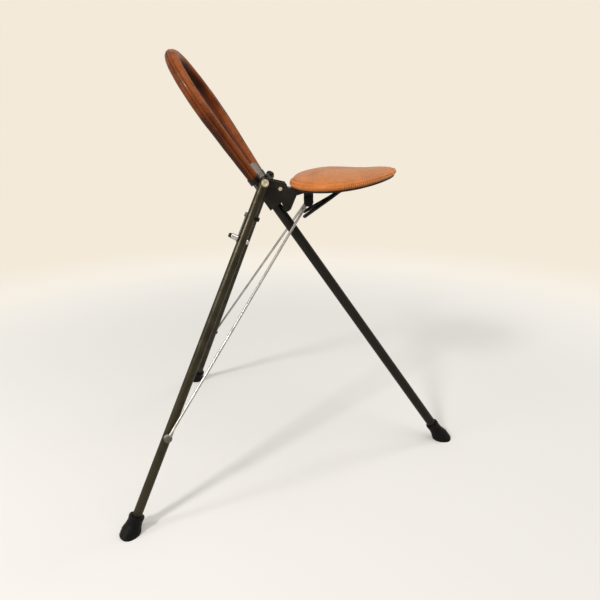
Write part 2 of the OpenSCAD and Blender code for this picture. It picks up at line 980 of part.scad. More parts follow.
front_tube();
front_foot();
hinge_block();
cross_arm();
socket(1);  // socket_left
socket(-1);  // socket_right
stay_plate(1);  // stay_plate_left
stay_plate(-1);  // stay_plate_right
stay_rivets();
hoop_tube();
hoop_cover();
hinge_pin();
pivot_bolt(1);  // pivot_bolt_left
pivot_bolt(-1);  // pivot_bolt_right
pivot_washer(1);  // pivot_washer_left
pivot_washer(-1);  // pivot_washer_right
leg_tube(1);  // leg_tube_left
leg_tube(-1);  // leg_tube_right
leg_bush(1);  // leg_bush_left
leg_bush(-1);  // leg_bush_right
leg_cap(1);  // leg_cap_left
leg_cap(-1);  // leg_cap_right
rear_foot(1);  // rear_foot_left
rear_foot(-1);  // rear_foot_right
rod_boss(1);  // rod_boss_left
rod_boss(-1);  // rod_boss_right
rod(1);  // rod_left
rod(-1);  // rod_right
rod_rivet(1);  // rod_rivet_left
rod_rivet(-1);  // rod_rivet_right
seat_bracket();
seat_pan();
seat_cushion();
seat_rivets();
stop_roller();
stop_pin();
rod_lug();
rod_pin();
rod_caps();
belt_hook();
catch_buffer();
catch_rivet();
catch_leaf();
catch_housing();
catch_plunger();
catch_knob();
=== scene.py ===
"""Dressed model of a folding tripod stool with a leather seat and a leather-covered hoop back.

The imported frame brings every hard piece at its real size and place. This file gives those
pieces their finishes and makes the soft and moulded ones: the stuffed seat, the sleeve round
the hoop, the sewn thread on both, the bent belt hook and the rubber feet.
Sizes are in millimetres until they become a mesh, which is in metres.
"""

import json
import logging
from dataclasses import dataclass, field
from enum import Enum
from math import acos, asin, atan2, cos, hypot, pi, radians, sin, sqrt, tan
from typing import Any, Callable, Iterable, Sequence

import bmesh
import bpy
import numpy as np
from mathutils import Matrix, Vector, noise
from mathutils.bvhtree import BVHTree


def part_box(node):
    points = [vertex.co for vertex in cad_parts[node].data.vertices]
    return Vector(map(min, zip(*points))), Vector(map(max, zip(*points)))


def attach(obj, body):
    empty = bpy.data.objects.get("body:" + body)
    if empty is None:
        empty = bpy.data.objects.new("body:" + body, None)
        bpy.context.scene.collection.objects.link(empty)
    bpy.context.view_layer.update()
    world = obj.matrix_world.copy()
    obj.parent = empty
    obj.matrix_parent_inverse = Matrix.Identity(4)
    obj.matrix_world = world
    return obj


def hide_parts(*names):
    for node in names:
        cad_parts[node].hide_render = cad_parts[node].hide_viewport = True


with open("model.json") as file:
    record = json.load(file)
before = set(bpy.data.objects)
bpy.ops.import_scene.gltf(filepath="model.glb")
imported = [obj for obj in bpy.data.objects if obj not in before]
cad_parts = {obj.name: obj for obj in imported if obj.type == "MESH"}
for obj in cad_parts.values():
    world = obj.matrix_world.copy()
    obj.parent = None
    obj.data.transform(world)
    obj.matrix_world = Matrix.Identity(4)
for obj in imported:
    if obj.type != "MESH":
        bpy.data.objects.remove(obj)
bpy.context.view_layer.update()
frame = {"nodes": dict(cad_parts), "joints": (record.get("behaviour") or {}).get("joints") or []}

log = logging.getLogger("stool")

MM = 0.001
FULL_TURN = 2 * pi

# The photograph's frame and lens, in its own pixels.
PHOTO_SIDE_PX = 600
FOCAL_PX = 485.0

Array = np.ndarray
Number = np.ndarray | float
Triple = tuple[float, float, float]
Colour = Triple
Pair = tuple[float, float]
Ends = list[tuple[Vector, Vector]]
Piece = bpy.types.Object
Material = bpy.types.Material


class Shade:
    """One output socket of a node tree, on which arithmetic adds Math nodes."""

    def __init__(self, bench: "Bench", socket: bpy.types.NodeSocket | None) -> None:
        """Wraps a socket that belongs to the bench's tree."""
        self.bench = bench
        self.socket = socket

    def other(self, name: str) -> "Shade":
        """Another output of the same node."""
        return Shade(self.bench, self.socket.node.outputs[name])

    def _math(self, operation: str, first: "Shade | float", second: "Shade | float") -> "Shade":
        """Adds one Math node and gives its result."""
        return self.bench.add("ShaderNodeMath", {"operation": operation}, {0: first, 1: second})

    def __add__(self, other: "Shade | float") -> "Shade":
        """This value plus another."""
        return self._math("ADD", self, other)

    def __radd__(self, other: float) -> "Shade":
        """A number plus this value."""
        return self._math("ADD", other, self)

    def __sub__(self, other: "Shade | float") -> "Shade":
        """This value less another."""
        return self._math("SUBTRACT", self, other)

    def __rsub__(self, other: float) -> "Shade":
        """A number less this value."""
        return self._math("SUBTRACT", other, self)

    def __mul__(self, other: "Shade | float") -> "Shade":
        """This value times another."""
        return self._math("MULTIPLY", self, other)

    def __rmul__(self, other: float) -> "Shade":
        """A number times this value."""
        return self._math("MULTIPLY", other, self)


@dataclass(frozen=True)
class Pattern:
    """Cloudy noise that is stepped into patches."""

    size: float  # Width of a patch, in millimetres or as a share of a finish's own size.
    detail: float  # Octaves of finer noise.
    low: float  # Noise at which a patch starts.
    high: float  # Noise at which it is full.
    stretch: Triple = (1.0, 1.0, 1.0)  # How much closer the patches lie along each axis.


class Bench:
    """The bench on which one material or world is mixed."""

    BEVEL_SAMPLES = 6
    # One less the dot product of the eased normal and the flat one, where rubbing starts and is full.
    SHARP_EDGE = (0.03, 0.2)

    def __init__(self, owner: Material | bpy.types.World) -> None:
        """Clears the owner's node tree and keeps it.

        Args:
            owner: The material or world that is mixed.
        """
        owner.use_nodes = True
        self.owner = owner
        self.tree = owner.node_tree
        self.tree.nodes.clear()
        self._place: Shade | None = None

    @staticmethod
    def _find(sockets: Any, key: str | int) -> bpy.types.NodeSocket:
        """A socket by its identifier, or else by its place or name."""
        return next((socket for socket in sockets if socket.identifier == key), None) or sockets[key]

    def add(self, kind: str, settings: dict[str, Any] | None = None,
            values: dict[str | int, Any] | None = None, output: str | int = 0) -> Shade:
        """Adds one node, sets it and fills its sockets.

        Args:
            kind: Blender's type name of the node.
            settings: The node's own settings.
            values: A number, colour or link for each socket.
            output: The output that is wanted.

        Returns:
            That output.
        """
        node = self.tree.nodes.new(kind)
        for name, setting in (settings or {}).items():
            setattr(node, name, setting)
        for key, value in (values or {}).items():
            socket = self._find(node.inputs, key)
            if isinstance(value, Shade):
                self.tree.links.new(value.socket, socket)
            else:
                socket.default_value = (*value, 1.0) if socket.type == "RGBA" else value
        return Shade(self, self._find(node.outputs, output) if node.outputs else None)

    def close(self, kind: str, shader: Shade) -> None:
        """Adds the output node of the material or world and joins the shader to it."""
        self.add(kind, None, {"Surface": shader})

    def place(self) -> Shade:
        """The point on the object, in metres from its origin."""
        self._place = self._place or self.add("ShaderNodeTexCoord", output="Object")
        return self._place

    def noise(self, size: float, detail: float, stretch: Triple = (1.0, 1.0, 1.0)) -> Shade:
        """Noise round one half, with clouds of a size in millimetres and octaves of finer ones."""
        where = self.add("ShaderNodeMapping", None, {"Vector": self.place(), "Scale": stretch})
        return self.add("ShaderNodeTexNoise", None,
                        {"Vector": where, "Scale": 1 / (size * MM), "Detail": detail})

    def patches(self, pattern: Pattern, scale: float = 1.0) -> Shade:
        """A pattern, 0 between its patches and 1 on them."""
        cloud = self.noise(scale * pattern.size, pattern.detail, pattern.stretch)
        return self.between(cloud, pattern.low, pattern.high)

    def cells(self, size: float) -> Shade:
        """Small cells of a size in millimetres, such as pores, with 0 on their edges."""
        return self.add("ShaderNodeTexVoronoi", {"feature": "DISTANCE_TO_EDGE"},
                        {"Vector": self.place(), "Scale": 1 / (size * MM)})

    def between(self, value: Shade, low: float, high: float) -> Shade:
        """A smooth step from 0 at the low value to 1 at the high one."""
        return self.add("ShaderNodeMapRange", {"interpolation_type": "SMOOTHSTEP"},
                        {"Value": value, "From Min": low, "From Max": high})

    def mix(self, factor: Shade | float, first: Shade | Colour, second: Shade | Colour) -> Shade:
        """Blends two colours, with the factor as the second one's share."""
        return self.add("ShaderNodeMix", {"data_type": "RGBA"},
                        {"Factor_Float": factor, "A_Color": first, "B_Color": second}, "Result_Color")

    def bump(self, height: Shade, depth: float, normal: Shade | None = None) -> Shade:
        """A normal with relief of a depth in millimetres, over another normal where there is one."""
        under = {} if normal is None else {"Normal": normal}
        return self.add("ShaderNodeBump", None, {"Height": height, "Distance": depth * MM, **under})

    def soft_edge(self, radius: float) -> Shade:
        """The normal of the surface with its sharp edges eased to a radius in millimetres."""
        return self.add("ShaderNodeBevel", {"samples": self.BEVEL_SAMPLES}, {"Radius": radius * MM})

    def rubbed(self, eased: Shade) -> Shade:
        """Where an edge is sharp enough to be rubbed.

        Args:
            eased: The eased normal from soft_edge.

        Returns:
            A value that is 1 on a sharp edge and 0 on a flat.
        """
        flat = self.add("ShaderNodeNewGeometry", output="Normal")
        same = self.add("ShaderNodeVectorMath", {"operation": "DOT_PRODUCT"}, {0: eased, 1: flat}, "Value")
        return self.between(1.0 - same, *self.SHARP_EDGE)

    def painted(self, name: str) -> Shade:
        """A value that is stored on the mesh's points under that name."""
        return self.add("ShaderNodeAttribute", {"attribute_name": name}, output="Fac")

    def surface(self, colour: Shade, roughness: Shade, normal: Shade,
                constants: dict[str, float]) -> Material:
        """Closes a material with its surface shader.

        Args:
            colour: Its base colour.
            roughness: Its roughness.
            normal: Its normal, with its relief.
            constants: What is the same all over, by socket name.

        Returns:
            The material.
        """
        values = {"Base Color": colour, "Roughness": roughness, "Normal": normal, **constants}
        self.close("ShaderNodeOutputMaterial", self.add("ShaderNodeBsdfPrincipled", None, values))
        return self.owner


def bench_for(name: str) -> Bench:
    """A bench with a new material of that name."""
    return Bench(bpy.data.materials.new(name))


@dataclass(frozen=True)
class Leather:
    """A dyed, waxed and burnished hide."""

    name: str
    face: Colour  # The flat of the hide.
    rim: Colour  # Where it is pulled over an edge; on the hoop also painted light down the front and over the top bend.
    cloud: Colour  # Its darker clouds.
    crease: Colour  # Dye gathered in pores, along seams and at the lap's edge, and painted shade in the seat's crease, down the hoop's back and inside its arch.
    cloud_size: float  # Width of a cloud in millimetres.
    clouding: float  # How strongly the clouds show.
    pore_size: float  # Width of a pore cell in millimetres.
    grain: float  # Depth of the pores in millimetres.
    gloss: float  # Level of the hide's own gloss.
    coat: float  # Weight of the wax coat.
    rough: float = 0.42

    # Patterns with sizes as shares of a cloud's width.
    CLOUDS = Pattern(1.0, 4.0, 0.42, 0.68)
    SCUFFS = Pattern(0.5, 6.0, 0.58, 0.74, (1.0, 0.35, 1.0))
    MOTTLE_SIZE, MOTTLE_DETAIL, MOTTLE_STEP = 0.12, 5.0, (0.48, 0.72)
    LUMP_SIZE, LUMP_DETAIL, LUMP_DEPTH = 0.3, 3.0, 0.3
    PORE_STEP = (0.0, 0.3)
    COAT_ROUGH = 0.14

    def material(self) -> Material:
        """Mixes the material from clouds, a fine mottle, pores and scuffs, over painted light and shade that
        the mesh stores.

        Returns:
            The material.
        """
        bench = bench_for(self.name)
        # The rim value holds painted light on the hoop; the crease value holds painted shade on seat and
        # hoop, besides the hoop's seam dye.
        rim = bench.painted("rim")
        crease = bench.painted("crease")
        clouds = bench.patches(self.CLOUDS, self.cloud_size)
        mottle = bench.noise(self.cloud_size * self.MOTTLE_SIZE, self.MOTTLE_DETAIL)
        scuffs = bench.patches(self.SCUFFS, self.cloud_size)
        pores = bench.between(bench.cells(self.pore_size), *self.PORE_STEP)
        spots = bench.between(mottle, *self.MOTTLE_STEP) * (self.clouding * 0.6)
        layers = ((clouds * self.clouding, self.cloud), (spots, self.cloud),
                  ((1.0 - pores) * 0.25, self.crease), (crease * 0.85, self.crease))
        colour = bench.mix(rim, self.face, self.rim)
        for share, dye in layers:
            colour = bench.mix(share, colour, dye)
        roughness = self.rough + (mottle - 0.5) * 0.25 + scuffs * 0.12 + crease * 0.15
        relief = bench.bump(pores * 0.7 + mottle * 0.5, self.grain)
        lumps = bench.noise(self.cloud_size * self.LUMP_SIZE, self.LUMP_DETAIL)
        return bench.surface(colour, roughness, bench.bump(lumps, self.LUMP_DEPTH, relief), {
            "Coat Weight": self.coat, "Coat Roughness": self.COAT_ROUGH, "Specular IOR Level": self.gloss})


@dataclass(frozen=True)
class Thread:
    """Waxed linen thread."""

    name: str
    light: Colour  # The strand.
    dark: Colour  # Between its plies.

    FIBRES = Pattern(0.5, 3.0, 0.4, 0.65)
    FIBRE_DEPTH = 0.08

    def material(self) -> Material:
        """Mixes the material from fine fibres.

        Returns:
            The material.
        """
        bench = bench_for(self.name)
        fibres = bench.noise(self.FIBRES.size, self.FIBRES.detail)
        plies = bench.between(fibres, self.FIBRES.low, self.FIBRES.high)
        return bench.surface(bench.mix(plies, self.light, self.dark), 0.55 + fibres * 0.2,
                             bench.bump(fibres, self.FIBRE_DEPTH), {"Sheen Weight": 0.25})


@dataclass(frozen=True)
class Metal:
    """Bare, plated or browned metal."""

    name: str
    bright: Colour  # The clean metal.
    dull: Colour  # Its tarnish.
    tarnish: float  # Share of the tarnish.
    rough: float  # Roughness of the clean metal.
    grain: float = 1.2  # Size of the grain of its finish in millimetres.
    stretch: Triple = (1.0, 1.0, 1.0)  # How the grain is drawn out along the axes.
    relief: float = 0.03  # Depth of the grain in millimetres.
    eased: float = 0.5  # Radius of the eased edges in millimetres.
    metallic: float = 1.0  # How much it is metal and not lacquer.
    gloss: float = 0.5  # Level of the lacquer's own gloss.

    CLOUDS = Pattern(26.0, 5.0, 0.4, 0.7)
    SPECKS = Pattern(2.4, 4.0, 0.6, 0.75)
    GRAIN_DETAIL = 2.0

    def handled(self, bench: Bench, colour: Shade) -> Shade:
        """The colour after handling, which the plain metals keep."""
        return colour

    def material(self) -> Material:
        """Mixes the material from tarnish, handling marks and a fine drawn grain.

        Returns:
            The material.
        """
        bench = bench_for(self.name)
        clouds = bench.patches(self.CLOUDS)
        specks = bench.patches(self.SPECKS)
        grain = bench.noise(self.grain, self.GRAIN_DETAIL, self.stretch)
        colour = bench.mix(clouds * self.tarnish, self.bright, self.dull)
        colour = bench.mix(specks * (self.tarnish * 0.7), colour, self.dull)
        roughness = self.rough + clouds * 0.1 + (grain - 0.5) * 0.14 + specks * 0.1
        relief = bench.bump(grain, self.relief, bench.soft_edge(self.eased))
        return bench.surface(self.handled(bench, colour), roughness, relief, {
            "Metallic": self.metallic, "Specular IOR Level": self.gloss})


@dataclass(frozen=True)
class RodPlate(Metal):
    """The rods' chrome, worn down to a brown undercoat round the eyes at the legs."""

    worn: Colour = (0.15, 0.12, 0.065)  # The undercoat.
    wear: Pair = (9.0, 15.0)  # Height over a rod's lower end where plate starts and is whole.
    wear_share: float = 0.85  # How much of the plate is gone at most.

    def handled(self, bench: Bench, colour: Shade) -> Shade:
        """Browns the plate round the lower eyes.

        Args:
            bench: The material's bench.
            colour: The plate's colour.

        Returns:
            The colour with the wear.
        """
        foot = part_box("rod_left")[0].z
        height = bench.add("ShaderNodeSeparateXYZ", None, {"Vector": bench.place()}, "Z")
        plated = bench.between(height, *(foot + up * MM for up in self.wear))
        return bench.mix((1.0 - plated) * self.wear_share, colour, self.worn)


@dataclass(frozen=True)
class PaintedIron:
    """Cast iron or pressed steel under black enamel, rubbed through at its edges."""

    name: str
    enamel: Colour
    dust: Colour  # Where the enamel is worn dull.
    bare: Colour  # The metal at rubbed edges.
    rough: float  # Roughness of the enamel.
    edge: float  # Radius of its eased edges in millimetres.

    PATCHES = Pattern(18.0, 5.0, 0.42, 0.7)
    CHIPS = Pattern(5.0, 5.0, 0.38, 0.62)
    SKIN_SIZE, SKIN_DETAIL, SKIN_DEPTH = 1.6, 3.0, 0.06
    GLOSS = 0.3

    def material(self) -> Material:
        """Mixes the material from enamel, dull patches and rubbed edges.

        Returns:
            The material.
        """
        bench = bench_for(self.name)
        eased = bench.soft_edge(self.edge)
        patches = bench.patches(self.PATCHES)
        skin = bench.noise(self.SKIN_SIZE, self.SKIN_DETAIL)
        rubbed = bench.rubbed(eased) * bench.patches(self.CHIPS)
        colour = bench.mix(patches * 0.55, self.enamel, self.dust)
        colour = bench.mix(rubbed * 0.8, colour, self.bare)
        roughness = self.rough + patches * 0.16 + (skin - 0.5) * 0.12
        relief = bench.bump(skin, self.SKIN_DEPTH, eased)
        return bench.surface(colour, roughness, relief, {"Specular IOR Level": self.GLOSS})


@dataclass(frozen=True)
class Rubber:
    """Moulded black rubber."""

    name: str
    black: Colour  # The clean rubber.
    dust: Colour  # The dust on it.
    rough: float

    DUST = Pattern(9.0, 6.0, 0.5, 0.78)
    SCUFFS = Pattern(3.5, 5.0, 0.56, 0.7, (1.0, 1.0, 0.3))
    SKIN_SIZE, SKIN_DETAIL, SKIN_DEPTH = 0.9, 3.0, 0.05
    GLOSS = 0.14

    def material(self) -> Material:
        """Mixes the material from a moulded skin, dust and scuffs.

        Returns:
            The material.
        """
        bench = bench_for(self.name)
        dust = bench.patches(self.DUST)
        skin = bench.noise(self.SKIN_SIZE, self.SKIN_DETAIL)
        colour = bench.mix(dust * 0.5, self.black, self.dust)
        colour = bench.mix(bench.patches(self.SCUFFS) * 0.3, colour, self.dust)
        roughness = self.rough + dust * 0.2 + (skin - 0.5) * 0.1
        return bench.surface(colour, roughness, bench.bump(skin, self.SKIN_DEPTH),
                             {"Specular IOR Level": self.GLOSS})


class Finish(Enum):
    """Every finish on the stool."""

    # Its darkest colour is painted shade along the seat's crease, and dye in the pores.
    SEAT_LEATHER = Leather(
        "tan_hide", face=(0.63, 0.268, 0.112), rim=(0.82, 0.250, 0.045), cloud=(0.40, 0.128, 0.040),
        crease=(0.46, 0.14, 0.032), cloud_size=52.0, clouding=0.55, pore_size=0.9, grain=0.05,
        gloss=0.2, coat=0.05)
    # On the hoop the rim colour is painted light down the front and over the bend, and the darkest colour is
    # painted shade down the back and inside the arch as well as dye at the seams.
    BACK_LEATHER = Leather(
        "red_brown_hide", face=(0.17, 0.034, 0.004), rim=(0.42, 0.102, 0.014), cloud=(0.07, 0.010, 0.002),
        crease=(0.012, 0.003, 0.001), cloud_size=34.0, clouding=0.6, pore_size=1.1, grain=0.01,
        gloss=0.08, coat=0.17)
    SEAT_THREAD = Thread("pale_linen", light=(0.93, 0.43, 0.14), dark=(0.70, 0.27, 0.07))
    BACK_THREAD = Thread("brown_linen", light=(0.13, 0.036, 0.009), dark=(0.055, 0.013, 0.004))
    DARK_TUBE = Metal(
        "browned_tube", bright=(0.060, 0.051, 0.031), dull=(0.020, 0.016, 0.009), tarnish=0.6, rough=0.34,
        grain=3.0, relief=0.012, eased=1.2, metallic=0.7, gloss=0.3)
    # A darker copy of the legs' tube finish: painted shade on the front tube and the hoop's tube.
    SHADED_TUBE = Metal(
        "tube_in_painted_shade", bright=(0.013, 0.011, 0.007), dull=(0.008, 0.006, 0.004), tarnish=0.7, rough=0.34,
        grain=3.0, relief=0.012, eased=1.2, metallic=0.0, gloss=0.25)
    CHROME = Metal(
        "chrome_plate", bright=(0.74, 0.73, 0.71), dull=(0.38, 0.35, 0.29), tarnish=0.45, rough=0.16,
        grain=2.0, relief=0.01)
    ROD_CHROME = RodPlate(
        "rod_plate", bright=(0.60, 0.59, 0.57), dull=(0.28, 0.25, 0.20), tarnish=0.5, rough=0.28,
        grain=2.0, relief=0.01)
    ZINC = Metal(
        "zinc_plate", bright=(0.88, 0.79, 0.60), dull=(0.42, 0.35, 0.23), tarnish=0.5, rough=0.30,
        grain=0.8, metallic=0.85)
    GREY_STEEL = Metal(
        "brushed_steel", bright=(0.21, 0.20, 0.18), dull=(0.11, 0.10, 0.085), tarnish=0.5, rough=0.55,
        grain=0.5, stretch=(1.0, 1.0, 0.15), metallic=0.3, gloss=0.25)
    BLACK_METAL = PaintedIron(
        "black_enamel", enamel=(0.010, 0.008, 0.005), dust=(0.024, 0.018, 0.011), bare=(0.13, 0.105, 0.07),
        rough=0.32, edge=0.8)
    RUBBER = Rubber("black_rubber", black=(0.004, 0.004, 0.004), dust=(0.016, 0.015, 0.013), rough=0.40)

    def made(self) -> Material:
        """The finish's material, made when it is first asked for."""
        return bpy.data.materials.get(self.value.name) or self.value.material()


class Side(Enum):
    """A side of the stool, with the sign of +Y as the sitter's left."""

    LEFT = 1
    RIGHT = -1

    @property
    def word(self) -> str:
        """The side's name as the pieces have it."""
        return self.name.lower()


def both(*stems: str) -> list[str]:
    """The names of the left and right pieces of each stem."""
    return [f"{stem}_{side.word}" for stem in stems for side in Side]


def ease(u: Number) -> Number:
    """A smooth step from 0 to 1 as u goes from 0 to 1."""
    held = np.clip(u, 0.0, 1.0)
    return held * held * (3.0 - 2.0 * held)


def peak(u: Number) -> Number:
    """A soft peak that is 1 at 0 and low beyond 1 on both sides."""
    return np.exp(-u ** 2)


def round_turn(sides: int) -> Array:
    """Even turns round a circle, in radians."""
    return np.linspace(0, FULL_TURN, sides, endpoint=False)


def placed(name: str, data: bpy.types.ID) -> Piece:
    """Puts a new object in the scene.

    Args:
        name: Its name.
        data: Its mesh, lamp or camera.

    Returns:
        The object.
    """
    thing = bpy.data.objects.new(name, data)
    bpy.context.scene.collection.objects.link(thing)
    return thing


class Skin:
    """Points and faces gathered for one mesh."""

    def __init__(self) -> None:
        """Starts with nothing."""
        self.points: list[Array] = []
        self.faces: list[tuple[int, ...]] = []

    def _put(self, points: Array) -> int:
        """Adds points, in metres, and gives the number of the first."""
        self.points.append(np.asarray(points, float).reshape(-1, 3))
        return sum(map(len, self.points[:-1]))

    def rings(self, rings: Array, looped: bool = False) -> int:
        """Joins rings of equal count into a sleeve.

        Args:
            rings: Points as rings by sides by 3, in metres.
            looped: Whether the last ring joins the first.

        Returns:
            The number of the first point.
        """
        count, sides = rings.shape[:2]
        first = self._put(rings)
        for k in range(count if looped else count - 1):
            here = first + k * sides
            there = first + (k + 1) % count * sides
            for i in range(sides):
                j = (i + 1) % sides
                self.faces.append((here + i, here + j, there + j, there + i))
        return first

    def closed(self, rings: Array, start: Array, end: Array) -> None:
        """Joins rings into a body that closes to a point at each end.

        Args:
            rings: Points as rings by sides by 3, in metres.
            start: The point before the first ring.
            end: The point after the last ring.
        """
        count, sides = rings.shape[:2]
        first = self.rings(rings)
        last = first + (count - 1) * sides
        tip, tail = self._put(start), self._put(end)
        for i in range(sides):
            j = (i + 1) % sides
            self.faces.append((tip, first + j, first + i))
            self.faces.append((tail, last + i, last + j))

    def piece(self, name: str, finish: Finish) -> Piece:
        """Makes the mesh object.

        Args:
            name: The piece's name.
            finish: Its finish.

        Returns:
            The object, smooth-shaded, with its faces turned outward.
        """
        mesh = bpy.data.meshes.new(name)
        mesh.from_pydata(np.concatenate(self.points).tolist(), [], self.faces)
        bm = bmesh.new()
        bm.from_mesh(mesh)
        bmesh.ops.recalc_face_normals(bm, faces=bm.faces)
        bm.to_mesh(mesh)
        bm.free()
        mesh.polygons.foreach_set("use_smooth", [True] * len(mesh.polygons))
        mesh.materials.append(finish.made())
        return placed(name, mesh)


def store(piece: Piece, name: str, values: Array) -> None:
    """Stores one value for each point of a piece, for its material to read."""
    attribute = piece.data.attributes.new(name, "FLOAT", "POINT")
    attribute.data.foreach_set("value", np.asarray(values, np.float32).ravel())


def read(rows: Any, name: str, width: int = 1) -> Array:
    """Reads one property of many items.

    Args:
        rows: The items, such as a mesh's points.
        name: The property.
        width: How many numbers each has.

    Returns:
        The numbers, in one row.
    """
    flat = np.zeros(len(rows) * width)
    rows.foreach_get(name, flat)
    return flat


def stored(piece: Piece, name: str) -> Array:
    """The values that are stored on a piece's points."""
    return read(piece.data.attributes[name].data, "value")


def points_of(piece: Piece) -> Array:
    """The points of a piece's mesh, in metres."""
    return read(piece.data.vertices, "co", 3).reshape(-1, 3)


def applied(piece: Piece) -> None:
    """Takes a piece's modifiers into its mesh.

    Args:
        piece: The piece.
    """
    seen = piece.evaluated_get(bpy.context.evaluated_depsgraph_get())
    mesh = bpy.data.meshes.new_from_object(seen)
    piece.modifiers.clear()
    piece.data = mesh


def tree_of(piece: Piece) -> BVHTree:
    """The surface of a piece, for laying stitches on it."""
    return BVHTree.FromPolygons(points_of(piece).tolist(), [tuple(p.vertices) for p in piece.data.polygons])


def through(matrix: Matrix, points: Array) -> Array:
    """Takes points from a frame of the stool, in millimetres, to the row frame, in metres."""
    m = np.array(matrix)
    return np.asarray(points, float) @ m[:3, :3].T + m[:3, 3]


@dataclass(frozen=True)
class Stance:
    """Where the stool's own axes lie, worked out from the frame's joints."""

    lean: float = radians(35.2)  # Lean of the stick, the front leg and the hoop, from upright.
    splay: float = radians(21.7)  # Turn of a leg's pivot away from straight across.
    swing: float = radians(58.95)  # Opening of a leg from the front leg.
    # Place of the right leg's pivot from the head's centre, in the stick's frame.
    pivot: Vector = field(default_factory=lambda: Vector((13.8, -86.5, -10.3)))

    def joint(self, name: str) -> Vector:
        """The place of a joint at rest, in metres."""
        return Vector(next(j["pos_m"] for j in frame["joints"] if j["name"] == name))

    def stick(self) -> Matrix:
        """The frame of the stick.

        Returns:
            The frame, with its origin at the head's centre, +Z up along the stick and +X forward.
        """
        turn = Matrix.Rotation(-self.lean, 4, "Y") @ Matrix.Scale(MM, 4)
        middle = (self.joint("leg_left_fold") + self.joint("leg_right_fold")) / 2
        head = middle - turn.to_3x3() @ Vector((self.pivot.x, 0.0, self.pivot.z))
        return Matrix.Translation(head) @ turn

    def leg(self, side: Side) -> Matrix:
        """The frame of a rear leg.

        Args:
            side: The leg's side.

        Returns:
            The frame, with its origin at the leg's pivot and -Z down along the leg.
        """
        mirror = Matrix.Diagonal((1.0, -side.value, 1.0, 1.0))
        turn = Matrix.Rotation(self.splay, 4, "Z") @ Matrix.Rotation(self.swing, 4, "Y")
        return mirror @ self.stick() @ Matrix.Translation(self.pivot) @ turn

    def seat(self) -> Matrix:
        """The frame of the seat, with its origin on the hinge."""
        return Matrix.Translation(self.joint("seat_fold")) @ Matrix.Scale(MM, 4)


STANCE = Stance()


@dataclass(frozen=True)
class Stitching:
    """How a row of stitches is sewn."""

    thread: float  # Radius of the thread.
    proud: float  # How far the middle of a stitch stands above the skin.
    sunk: float = 0.6  # Share of the thread's radius by which a stitch lies in the skin.
    drawn: float = 0.45  # Radius at a stitch's ends over the thread's.
    tip: float = 0.5  # Reach of its pointed ends over the thread's radius.
    sides: int = 6  # Sides of the thread.
    steps: int = 7  # Rings along one stitch.

    def sew(self, name: str, ends: Iterable[tuple[Vector, Vector]], skin: BVHTree, finish: Finish) -> Piece:
        """Lays one stitch on the skin between each pair of ends.

        Args:
            name: The row's name.
            ends: Where each stitch goes in and comes out, in metres.
            skin: The surface that is sewn.
            finish: The thread.

        Returns:
            The row as one piece.
        """
        sewn = Skin()
        for start, end in ends:
            rings = []
            along = (end - start).normalized()
            for k in range(self.steps):
                share = k / (self.steps - 1)
                arch = sin(pi * share)
                at, up, _, _ = skin.find_nearest(start.lerp(end, share))
                across = along.cross(up).normalized()
                up = across.cross(along)
                middle = at + up * (self.proud * arch - self.thread * self.sunk) * MM
                radius = self.thread * (self.drawn + (1 - self.drawn) * sqrt(arch)) * MM
                rings.append([middle + (across * cos(a) + up * sin(a)) * radius
                              for a in round_turn(self.sides)])
            rows = np.array(rings)
            reach = np.array(along) * self.thread * self.tip * MM
            sewn.closed(rows, rows[0].mean(0) - reach, rows[-1].mean(0) + reach)
        return sewn.piece(name, finish)


